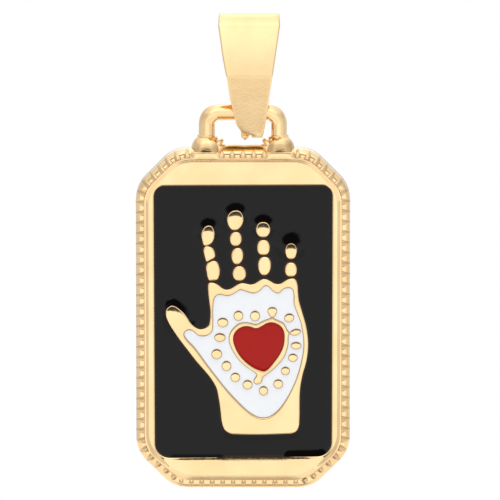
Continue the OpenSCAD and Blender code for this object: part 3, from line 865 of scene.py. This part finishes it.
def ribsOn(name, paths, values, finish):  # paths are open lines, clockwise round what they stand on
    vertices, edges = [], []
    for path in paths:
        first = len(vertices)
        vertices += [spot(x, z, values["depth"] - values["fall"] * alongFoot(z)) for x, z in path]
        edges += [(first + i, first + i + 1) for i in range(len(path) - 1)]
    mesh = bpy.data.meshes.new(name + "Path")
    mesh.from_pydata(vertices, edges, [])
    guide = inScene(name + "Path", mesh)
    modifier = guide.modifiers.new("ribs", "NODES")
    modifier.node_group = ribTree
    sizes = ("Pitch", "Wide", "Thick", "Inset", "Inward", "Forward")
    given = {size: values[size.lower()] * mm for size in sizes}
    given |= {"Sweep": math.radians(values["sweep"]), "Variation": values["variation"],
              "Seed": values["seed"], "Finish": finish}
    for item in ribTree.interface.items_tree:
        if item.item_type == "SOCKET" and item.in_out == "INPUT" and item.name in given:
            modifier[item.identifier] = given[item.name]
    bpy.context.view_layer.update()
    made = guide.evaluated_get(bpy.context.evaluated_depsgraph_get())
    piece = inScene(name, bpy.data.meshes.new_from_object(made))
    piece.data.name = name
    guide.modifiers.clear()
    bpy.data.objects.remove(guide)
    return piece


# Finishes
goldFinish = {
    "light": "#F9D9A6",
    "deep": "#F3D09B",
    "roughness": (0.08, 0.14),
    "tones": (0.35, 0.7),  # reach of the swell over which light turns deep
    "rippleSize": 2.4,    # millimetres from swell to swell of the cast and polished surface
    "rippleDepth": 0.016,  # ten times the real one, so that it shows
    "pitSize": 0.16,      # fine grain left under the plating
    "pitDepth": 0.004,    # as much deeper than the real one
    "pits": (0.3, 0.7),   # reach of the grain over which it gets rougher
}
paintedShadeRibFinish = goldFinish | {"light": "#DDBE93", "deep": "#D6B588"}  # painted shade: darker gold on the ribs, standing in for the shade in the ribbed rim
paintedShadeFinish = goldFinish | {"light": "#B9853F", "deep": "#A6712C"}  # painted shade: dark orange gold standing in for the shaded, gold-on-gold reflection behind the ribs between the balls
ballFinish = goldFinish | {
    "paintedShade": "#D7B687",   # painted shade low on the balls, standing in for their darker reflection there
    "paintedShadeBelow": (-10.1, -9.64),  # full below the first height, none above the second
    "lean": (-0.07, 0, 1),  # it climbs higher on the right ball
}


def newMaterial(name):    # with its tree and the place on the piece
    material = bpy.data.materials.new(name)
    tree = emptyTree(material)
    return material, tree, addNode(tree, "ShaderNodeTexCoord").outputs["Object"]


def patternAt(at, size, detail):  # inputs of a noise with this many millimetres from swell to swell
    return {"Vector": at, "Scale": 1 / (size * mm), "Detail": detail}


def makeGold(name, values):  # gold plate on cast brass: like a warm mirror, a little uneven from casting
    material, tree, at = newMaterial(name)
    swell = addNode(tree, "ShaderNodeTexNoise", patternAt(at, values["rippleSize"], 2.0))
    grain = addNode(tree, "ShaderNodeTexNoise", patternAt(at, values["pitSize"], 3.0))
    tone = addNode(tree, "ShaderNodeMapRange", mapped(swell.outputs["Fac"], values["tones"]))
    tint = addNode(tree, "ShaderNodeMix", {
        "Factor": tone, 6: colour(values["light"]), 7: colour(values["deep"])}, data_type="RGBA")
    # Painted shade: darker towards the bottom of the piece, by height, standing in for the darker reflection
    # low on the balls
    if "paintedShade" in values:
        height = addNode(tree, "ShaderNodeVectorMath", {0: at, 1: values["lean"]}, operation="DOT_PRODUCT")
        reach = [z * mm for z in values["paintedShadeBelow"]]
        low = addNode(tree, "ShaderNodeMapRange", mapped(
            height.outputs["Value"], reach, 1.0, 0.0), interpolation_type="SMOOTHSTEP")
        tint = addNode(tree, "ShaderNodeMix", {
            "Factor": low, 6: tint.outputs[2], 7: colour(values["paintedShade"])}, data_type="RGBA")
    rough = addNode(tree, "ShaderNodeMapRange", mapped(
        grain.outputs["Fac"], values["pits"], *values["roughness"]))
    wave = addNode(tree, "ShaderNodeBump", {
        "Height": swell.outputs["Fac"], "Distance": values["rippleDepth"] * mm, "Strength": 1.0})
    pits = addNode(tree, "ShaderNodeBump", {
        "Height": grain.outputs["Fac"], "Distance": values["pitDepth"] * mm, "Strength": 1.0,
        "Normal": wave})
    metal = addNode(tree, "ShaderNodeBsdfPrincipled", {
        "Base Color": tint.outputs[2], "Metallic": 1.0, "Roughness": rough, "Normal": pits})
    addNode(tree, "ShaderNodeOutputMaterial", {"Surface": metal})
    return material


# thin and over: a painted reflection and shade of the gold walls, a tint that the enamel takes within so many
# millimetres of the metal
enamelFinish = {
    "skin": {"swellSize": 3.5, "swellDepth": 0.01, "cloudSize": 1.2},  # of all three, in millimetres
    "black": {"base": "#070606", "other": "#0A0807", "thin": "#35220F", "over": 0.18,
              "roughness": 0.05, "ior": 1.45, "level": 0.26},
    "white": {"base": "#EFF2F6", "other": "#EAEDF2", "thin": "#9C7B58", "over": 0.10,
              "roughness": 0.10, "ior": 1.45, "level": 0.4},
    "red": {"base": "#AB1B16", "other": "#A31914", "thin": "#6E1D17", "over": 0.10,
            "roughness": 0.10, "ior": 1.40, "level": 0.2},
}


def makeGlaze(name, values):  # soft enamel, poured and cured: one deep colour under a glossy, uneven skin, with a painted reflection of the metal walls beside them
    material, tree, at = newMaterial(name)
    skin = enamelFinish["skin"]
    swell = addNode(tree, "ShaderNodeTexNoise", patternAt(at, skin["swellSize"], 1.0))
    cloud = addNode(tree, "ShaderNodeTexNoise", patternAt(at, skin["cloudSize"], 3.0))
    tint = addNode(tree, "ShaderNodeMix", {
        "Factor": cloud.outputs["Fac"], 6: colour(values["base"]),
        7: colour(values["other"])}, data_type="RGBA")
    # Painted reflection: near the metal the enamel turns to the tint of the wall's reflection
    wall = addNode(tree, "ShaderNodeAttribute", attribute_name="wall")
    thin = addNode(tree, "ShaderNodeMapRange", mapped(
        wall.outputs["Fac"], (0.0, values["over"]), 1.0, 0.0), interpolation_type="SMOOTHSTEP")
    tint = addNode(tree, "ShaderNodeMix", {
        "Factor": thin, 6: tint.outputs[2], 7: colour(values["thin"])}, data_type="RGBA")
    wave = addNode(tree, "ShaderNodeBump", {
        "Height": swell.outputs["Fac"], "Distance": skin["swellDepth"] * mm, "Strength": 1.0})
    glaze = addNode(tree, "ShaderNodeBsdfPrincipled", {
        "Base Color": tint.outputs[2], "Roughness": values["roughness"], "IOR": values["ior"],
        "Specular IOR Level": values["level"], "Normal": wave})
    addNode(tree, "ShaderNodeOutputMaterial", {"Surface": glaze})
    return material


goldPlate = makeGold("goldPlateOnCastBrass", goldFinish)
goldRibs = makeGold("goldRibsPaintedShade", paintedShadeRibFinish)
goldStrap = makeGold("goldPlateOnStampedStrap", goldFinish)
paintedShadeGold = makeGold("goldPaintedShade", paintedShadeFinish)
goldBalls = makeGold("goldPlateOnBalls", ballFinish)
blackGlaze = makeGlaze("softEnamelBlack", enamelFinish["black"])
whiteGlaze = makeGlaze("softEnamelWhite", enamelFinish["white"])
redGlaze = makeGlaze("softEnamelRed", enamelFinish["red"])

ribTree = makeRibTree(ribs)
ribLine = bodyRing(ribs["path"], arcSteps=12, spacing=0.3)[::-1]  # clockwise


def runBetween(ring, start, end, step=0.1):  # open part of a closed line, by lengths from its top middle
    closed = np.vstack([ring, ring[:1]])
    length = lengthsAlong(closed)
    top = int(np.argmin(np.abs(ring[:, 0]) + 10 * (ring[:, 1].max() - ring[:, 1])))
    middle = length[top] - ring[top, 0]  # clockwise runs to the right at the top
    at = middle + np.linspace(start, end, max(8, int((end - start) / step)))
    return pointsAt(closed, at % length[-1])


aroundLength = float(np.sum(np.linalg.norm(np.roll(ribLine, -1, 0) - ribLine, axis=1)))
runStart, runEnd = ribs["start"], aroundLength - ribs["start"] - ribs["short"]
ribStep = aroundLength - 2 * runStart - ribs["short"]
ribStep /= round(ribStep / ribs["pitch"])
toFoot = math.ceil((aroundLength / 2 - ribs["footHalf"] - runStart) / ribStep)
pastFoot = math.floor((aroundLength / 2 + ribs["footHalf"] - runStart) / ribStep)
rimRibs = ribsOn("rimRibs", [
    runBetween(ribLine, -ribs["between"], ribs["between"]),
    runBetween(ribLine, runStart, runStart + (toFoot - 1) * ribStep),
    runBetween(ribLine, runStart + (pastFoot + 1) * ribStep, runEnd),
], ribs, goldRibs)
footRibs = ribsOn("footRibs", [
    runBetween(ribLine, runStart + toFoot * ribStep, runStart + pastFoot * ribStep),
], ribs | ribs["atFoot"], goldRibs)
print("ribs ready", len(rimRibs.data.polygons))


# Loop, balls and collars
loop = {
    "wire": 1.18,
    "thicker": (1.085, 1.05),  # left and right leg
    "closer": (0.05, 0.03),  # legs and crossbar lie this much further in
    "bend": 0.92,         # radius of a corner, to the middle of the wire
    "swell": 0.06,        # thicker at the corners
    "ridge": 9,           # degrees above the front where a faint ridge runs along the wire
    "ball": 2.35,
    "ballSink": 0.04,     # ball's middle under the top of the body
    "rightLower": 0.05,   # the right ball sits this much lower
    "front": (1.16, -0.203, -0.025, -0.3126),  # depth, and what height, its square and its 5th power add
    "foot": (0.3, 0.36),  # height under its middle where the front draws in, and over what height
    "rise": (0.02, -0.15),  # those heights count from this much under its middle, and from no lower than this
    "square": 0.74,
    "collar": [           # radius, height over its foot
        (0.68, 0), (0.70, 0.03), (0.70, 0.12), (0.67, 0.16), (0.5, 0.18),
    ],
    "collarAt": 0.95,     # its foot over the middle of the ball
    "wireFrom": 0.4,      # lower end of the wire, inside the ball
}


def sweep(path, radii, ridge, around):  # closed tube along a path; its first row of edges is the ridge
    vertices = []
    last = len(path) - 1
    for i, (point, radius) in enumerate(zip(path, radii)):
        along = path[min(i + 1, last)] - path[max(i - 1, 0)]
        along /= np.linalg.norm(along)
        outer = np.array([-along[1], along[0]])
        for k in range(around):
            a = math.radians(ridge) + 2 * math.pi * k / around
            x, z = point + radius * math.sin(a) * outer
            vertices.append(spot(x, z, radius * math.cos(a)))
    return vertices, tubeFaces(len(path), around, turned=True)


def dome(rows, x, around=56):  # rows from the bottom: half width, depth in front and behind, z, squareness
    vertices = []
    for wide, front, behind, z, square in rows:
        for k in range(around):
            c, s = math.cos(2 * math.pi * k / around), math.sin(2 * math.pi * k / around)
            if s > 0:
                vertices.append(spot(x + wide * math.copysign(abs(c) ** square, c), z, front * s ** square))
            else:
                vertices.append(spot(x + wide * c, z, behind * s))
    return vertices, tubeFaces(len(rows), around)


def makeBall(values, side):
    ball, middle = values["ball"] / 2, -place["bodyTop"] - values["ballSink"]
    low = middle - (values["rightLower"] if side > 0 else 0)
    start, first, second, fifth = values["front"]
    footFrom, footOver = values["foot"]
    rows = []
    for turn in range(-60, 56, 5):
        up = ball * math.sin(math.radians(turn))
        rise = max(up + values["rise"][0], values["rise"][1])
        front = start + first * rise + second * rise ** 2 + fifth * max(rise, 0) ** 5
        front *= math.sqrt(max(0.01, 1 - (max(-footFrom - up, 0) / footOver) ** 2))
        wide = ball * math.cos(math.radians(turn))
        rows.append((wide, front, wide, low + up, values["square"]))
    rows += [(radius, radius, radius, middle + values["collarAt"] + z, 1) for radius, z in values["collar"]]
    return dome(rows, side * place["legX"])


def makeLoop(values):
    legX, bar = place["legX"] - values["closer"][0], place["bar"] + values["closer"][1]
    bend, thin = values["bend"], values["wire"] / 2
    foot = -place["bodyTop"] - values["ballSink"] + values["wireFrom"]
    path = [(-legX, z, thin) for z in np.linspace(foot, -bar - bend, 12)[:-1]]
    steps = 14            # of each corner
    for side in (-1, 1):
        centre = np.array([side * (legX - bend), -bar - bend])
        for k in range(steps + 1):
            turn = (math.pi if side < 0 else math.pi / 2) - math.pi / 2 * k / steps
            radius = thin * (1 + values["swell"] * math.sin(math.pi * k / steps) ** 2)
            path.append((*(centre + bend * direction(turn)), radius))
        if side < 0:
            path += [(x, -bar, thin) for x in np.linspace(-(legX - bend), legX - bend, 16)[1:-1]]
    path += [(legX, z, thin) for z in np.linspace(-bar - bend, foot, 12)[1:]]
    radii = [radius * float(np.interp(x, (-legX, legX), values["thicker"])) for x, _, radius in path]
    around = 28
    tube = sweep([np.array(p[:2]) for p in path], radii, values["ridge"], around)
    parts = [tube, makeBall(values, -1), makeBall(values, 1)]
    piece = facedOut(makePiece("stirrupLoop", *joined(parts), sharp=60))
    known = piece.data.attributes
    marks = known.get("sharp_edge") or known.new("sharp_edge", "BOOLEAN", "EDGE")
    for edge in piece.data.edges:
        a, b = sorted(edge.vertices)
        if b < len(tube[0]) and a % around == 0 and b == a + around:
            marks.data[edge.index].value = True  # the ridge shows as a faint line
    return piece


stirrupLoop = makeLoop(loop)

pad = {                   # smooth foot in front of each ball, where the rim has no ribs
    "half": 1.22,
    "flat": 6,            # the higher, the further its middle section holds to the sides
    "section": [          # inset from the body's top and depth, in its middle
        (0.03, 0.66), (0.10, 0.82), (0.15, 0.93), (0.175, 1.05), (0.185, 1.15), (0.205, 1.188),
        (0.222, 1.203), (0.232, 1.205), (0.64, 1.20), (0.70, 1.185), (0.74, 1.145), (0.80, 1.09),
        (0.88, 1.02),
    ],
    "rim": [              # the same at its two sides, where it meets the rim
        (0.03, 0.62), (0.08, 0.74), (0.12, 0.80), (0.18, 0.865), (0.24, 0.92), (0.28, 0.945), (0.32, 0.965),
        (0.36, 0.975), (0.58, 0.98), (0.67, 1.10), (0.73, 1.13), (0.80, 1.10), (0.88, 1.03),
    ],
    "sag": (0.05, 0.6),   # its lower side sags this much, from this inset on
    "under": (0.45, 0.55),  # inset and depth of the line that closes it inside the body
}


def makePads(values):
    parts = []
    across, count = 25, len(values["section"])
    sagBy, sagFrom = values["sag"]
    for side in (-1, 1):
        vertices, faces, under = [], [], []
        for k in range(across):
            u = -1 + 2 * k / (across - 1)
            full = 1 - u ** values["flat"]
            x = side * place["legX"] + u * values["half"]
            for (inset, depth), (edgeInset, edgeDepth) in zip(values["section"], values["rim"]):
                sag = sagBy * (1 - u * u) * (inset > sagFrom)
                vertices.append(spot(x, -place["bodyTop"] - edgeInset - (inset - edgeInset) * full - sag,
                                     edgeDepth + (depth - edgeDepth) * full))
            under.append(spot(x, -place["bodyTop"] - values["under"][0], values["under"][1]))
        for k in range(across - 1):
            for a in range(k * count, (k + 1) * count - 1):
                faces.append([a, a + 1, a + count + 1, a + count])
        base = len(vertices)
        vertices += under
        for k in range(across - 1):
            faces.append([base + k, base + k + 1, (k + 1) * count, k * count])
            faces.append([base + k, (k + 1) * count - 1, (k + 2) * count - 1, base + k + 1])
        faces.append(list(range(count)) + [base])
        faces.append(list(range((across - 1) * count, across * count))[::-1] + [base + across - 1])
        parts.append((vertices, faces))
    return facedOut(makePiece("ballPads", *joined(parts), sharp=45))


ballPads = makePads(pad)

lip = {                   # low wall behind the ribs between the balls, with two low arches on top; its front carries painted shade
    "half": 1.78,
    "middle": 0.1,
    "back": 0.15,         # depths
    "front": 0.66,
    "toe": 0.62,          # of the front at its foot
    "low": 0.25,          # its top over the body's top, at the ends and where the arches meet
    "high": 0.31,
    "ends": (0.75, 0.16),  # from this part of its half length on, the top comes down by so much
}


def makeLip(values):
    vertices = []
    across = 33
    back, front, low, (ends, fall) = values["back"], values["front"], values["low"], values["ends"]
    for k in range(across):
        u = -1 + 2 * k / (across - 1)
        top = low + (values["high"] - low) * abs(math.sin(math.pi * u))
        top -= fall * max(0.0, abs(u) - ends) / (1 - ends)
        section = [       # depth and height, from the foot of the front upwards and over
            (values["toe"], -0.12), (front, top - 0.05), (front - 0.03, top - 0.02), (front - 0.08, top),
            (back + 0.06, top), (back + 0.015, top - 0.02), (back, top - 0.06), (back, -0.3),
        ]
        for depth, up in section:
            vertices.append(spot(values["middle"] + u * values["half"], up - place["bodyTop"], depth))
    piece = facedOut(makePiece("rearLip", vertices, tubeFaces(across, len(section)), sharp=60))
    for k in range(across - 1):
        piece.data.polygons[k * len(section)].material_index = 1  # its sloping front carries the painted shade
    return piece


rearLip = makeLip(lip)

teeth = {                 # three blunt teeth on the inner side of each ball
    "wide": 0.42, "thick": 0.34, "inset": 0.0, "inward": 0.55, "forward": 0.55, "depth": 0.12, "fall": 0.0,
    "sweep": 116, "pitch": 0.47, "variation": 0.08, "seed": 9,
    "tips": [(1.13, 50), (1.44, 27), (1.40, 8)],  # distance from the ball's middle, degrees above the rim
}


def toothPaths(values):
    paths = []
    middle = -place["bodyTop"] - loop["ballSink"]
    for side in (-1, 1):
        arc = np.array([(side * (place["legX"] - far * math.cos(math.radians(turn))),
                         middle + far * math.sin(math.radians(turn))) for far, turn in values["tips"]])
        paths.append(arc if side < 0 else arc[::-1])
    return paths


ballTeeth = ribsOn("ballTeeth", toothPaths(teeth), teeth, goldPlate)
print("loop ready")


# Bail: a strap swept along its side profile, with soft edges
bail = {
    "shift": 0.49,
    "strap": 0.5,
    "topRadius": 1.3,     # outside of the round top
    "bend": 4.16,         # drop of the bend
    "bendOut": 2.585,     # depth of the bend, outside
    "apexOut": 0.539,     # depth of the outside where the leaves meet
    "apex": 9.262,
    "soft": 0.11,         # radius of the strap's long edges
    "bow": 0.06,          # how far the upper leaves bulge
    "crease": 0.05,       # radius of the bend, outside
    "crown": 0.02,        # bulge across the leaves
    "ends": (0.05, 0.09),  # at its two ends the strap is this much narrower a side and thinner a face
    "rows": [             # drop, left edge, right edge
        (-0.60, -2.39, 2.39), (0.25, -2.46, 2.46), (2.83, -2.09, 2.07), (4.42, -1.77, 1.83),
        (6.15, -1.53, 1.59), (7.89, -1.14, 1.37), (8.43, -0.99, 1.27), (8.80, -0.74, 1.21),
        (9.03, -0.63, 1.16),
    ],
    "toe": [
        (9.14, -0.25, 1.14), (9.21, 0.10, 1.12), (9.24, 0.16, 1.11), (9.42, 0.20, 1.05), (9.46, 0.24, 1.01),
    ],
    "tongue": [
        (9.20, -0.64, 0.50), (9.30, -0.64, 0.10), (9.42, -0.64, 0.0), (9.53, -0.61, -0.03),
        (9.63, -0.55, -0.09), (9.70, -0.46, -0.18), (9.74, -0.37, -0.27),
    ],
}


def sideProfile(values):  # depth and drop of half the outside, with the start and heading of the lower leaf
    bend = np.array([values["bendOut"], values["bend"]])
    centre = np.array([0.0, values["topRadius"] - values["strap"]])
    toward = bend - centre
    lean = math.acos(values["topRadius"] / float(np.linalg.norm(toward))) - math.atan2(toward[1], toward[0])
    touch = centre + values["topRadius"] * np.array([math.cos(lean), -math.sin(lean)])
    lower = np.array([(values["apexOut"] - bend[0]) / (values["apex"] - bend[1]), 1.0])
    upperUnit = (touch - bend) / np.linalg.norm(touch - bend)
    lowerUnit = lower / np.linalg.norm(lower)
    soft = values["crease"]
    turnAngle = math.pi - math.acos(float(np.clip(np.dot(upperUnit, lowerUnit), -1, 1)))
    cut = soft * math.tan(turnAngle / 2)
    a, b = bend + lowerUnit * cut, bend + upperUnit * cut  # ends of the arc at the bend
    inward = (upperUnit + lowerUnit) / np.linalg.norm(upperUnit + lowerUnit)
    middle = bend + inward * soft / math.cos(turnAngle / 2)
    startTurn = math.atan2(*(a - middle)[::-1])
    endTurn = math.atan2(*(b - middle)[::-1])
    half = [middle + soft * direction(startTurn + (endTurn - startTurn) * t) for t in np.linspace(0, 1, 7)]
    straight = touch - b
    acrossUnit = np.array([-straight[1], straight[0]]) / np.linalg.norm(straight)
    if acrossUnit[0] < 0:
        acrossUnit = -acrossUnit
    half += [b + straight * t + acrossUnit * values["bow"] * 4 * t * (1 - t)
             for t in np.linspace(0, 1, 16)[1:-1]]
    half += [centre + values["topRadius"] * np.array([math.cos(t), -math.sin(t)])
             for t in np.linspace(lean, math.pi / 2, 14)]
    return np.array(half), a, lowerUnit


def strapSection(left, right, thick, soft, crown, pinch):  # x and depth under the outer face, all round
    corner = [math.radians(a) for a in (0, 22.5, 45, 67.5, 90)]
    section = []
    for k in range(9):    # outer face, slightly crowned
        u = k / 8
        section.append((left + soft + (right - left - 2 * soft) * u, pinch - crown * (1 - (2 * u - 1) ** 2)))
    under = thick - pinch - soft
    section += [(right - soft + soft * math.sin(a), pinch + soft - soft * math.cos(a)) for a in corner[1:]]
    section += [(right - soft + soft * math.cos(a), under + soft * math.sin(a)) for a in corner]
    section += [(left + soft - soft * math.sin(a), under + soft * math.cos(a)) for a in corner]
    section += [(left + soft - soft * math.cos(a), pinch + soft - soft * math.sin(a)) for a in corner[:-1]]
    return section


def makeBail(values):
    half, start, down = sideProfile(values)

    def leaf(ends):       # its stations from the bend down
        drops = {start[1] + (values["rows"][-1][0] - start[1]) * t for t in np.linspace(0, 1, 16)[1:]}
        drops |= {row[0] for row in values["rows"] if row[0] > start[1]} | {row[0] for row in ends}
        return [(start[0] + down[0] / down[1] * (d - start[1]), d) for d in sorted(drops) if d <= ends[-1][0]]

    stations = [(*p, 1, "toe") for p in leaf(values["toe"])[::-1] + list(half)]
    stations += [(*p, -1, "tongue") for p in list(half[::-1][1:]) + leaf(values["tongue"])]
    outer = np.array([(side * depth, drop) for depth, drop, side, _ in stations])
    along = np.zeros_like(outer)
    along[1:-1] = outer[2:] - outer[:-2]
    along[0] = outer[1] - outer[0]
    along[-1] = outer[-1] - outer[-2]
    along /= np.linalg.norm(along, axis=1, keepdims=True)
    inwards = np.stack([along[:, 1], -along[:, 0]], 1)
    vertices = []
    for i, (_, drop, _, ends) in enumerate(stations):
        narrower, pinch = values["ends"] if i in (0, len(stations) - 1) else (0.0, 0.0)
        rows = values["rows"] + values[ends]
        drops = [row[0] for row in rows]
        left = np.interp(drop, drops, [row[1] for row in rows]) + values["shift"] + narrower
        right = np.interp(drop, drops, [row[2] for row in rows]) + values["shift"] - narrower
        section = strapSection(left, right, values["strap"], values["soft"], values["crown"], pinch)
        for x, deep in section:
            point = outer[i] + inwards[i] * deep
            vertices.append(spot(x, -point[1], point[0]))
    return facedOut(makePiece("bailStrap", vertices, tubeFaces(len(stations), len(section)), sharp=60))


bailStrap = makeBail(bail)
print("bail ready")

finishes = (              # the ribs and the teeth have theirs from their tree
    (plateBody, goldPlate), (stirrupLoop, goldBalls), (ballPads, goldPlate), (rearLip, goldPlate),
    (rearLip, paintedShadeGold), (blackEnamel, blackGlaze), (whiteEnamel, whiteGlaze), (redEnamel, redGlaze),
    (bailStrap, goldStrap),
)
for piece, material in finishes:
    piece.data.materials.append(material)

slots = (
    (plateBody, "gold_plate"), (rimRibs, "gold_plate"), (footRibs, "gold_plate"), (stirrupLoop, "gold_plate"),
    (ballPads, "gold_plate"), (rearLip, "gold_plate"), (ballTeeth, "gold_plate"),
    (blackEnamel, "black_enamel"), (whiteEnamel, "white_enamel"), (redEnamel, "red_enamel"),
)
for piece, slot in slots:
    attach(piece, "pendant")
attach(bailStrap, "bail")
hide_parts("plate")
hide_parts("black_enamel")
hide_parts("white_enamel")
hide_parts("red_enamel")
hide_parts("bail")

# Floor: plain and pale, well under the hanging pendant, with a soft shade in front of it
floorValues = {"radius": 0.5, "height": -0.15, "pale": "#F3F2EF", "shade": "#9C9A97", "shadeAt": -0.06,
               "shadeEdge": (0.02, 0.07)}  # metres


def makeFloor(values):
    vertices = []
    count = 96
    for k in range(count):
        x, y = values["radius"] * direction(2 * math.pi * k / count)
        vertices.append((x, y, values["height"]))
    floor = makePiece("floor", vertices, [list(range(count))])
    material, tree, at = newMaterial("matWhitePaper")  # dull, no gloss
    flat = addNode(tree, "ShaderNodeVectorMath", {
        0: at, 1: (0, values["shadeAt"], values["height"])}, operation="SUBTRACT")
    away = addNode(tree, "ShaderNodeVectorMath", {0: flat}, operation="LENGTH")
    part = addNode(tree, "ShaderNodeMapRange", mapped(
        away.outputs["Value"], values["shadeEdge"]), interpolation_type="SMOOTHSTEP")
    tint = addNode(tree, "ShaderNodeMix", {
        "Factor": part, 6: colour(values["shade"]), 7: colour(values["pale"])}, data_type="RGBA")
    paper = addNode(tree, "ShaderNodeBsdfPrincipled", {
        "Base Color": tint.outputs[2], "Roughness": 0.95, "Specular IOR Level": 0.1})
    addNode(tree, "ShaderNodeOutputMaterial", {"Surface": paper})
    floor.data.materials.append(material)


makeFloor(floorValues)
print("floor ready")
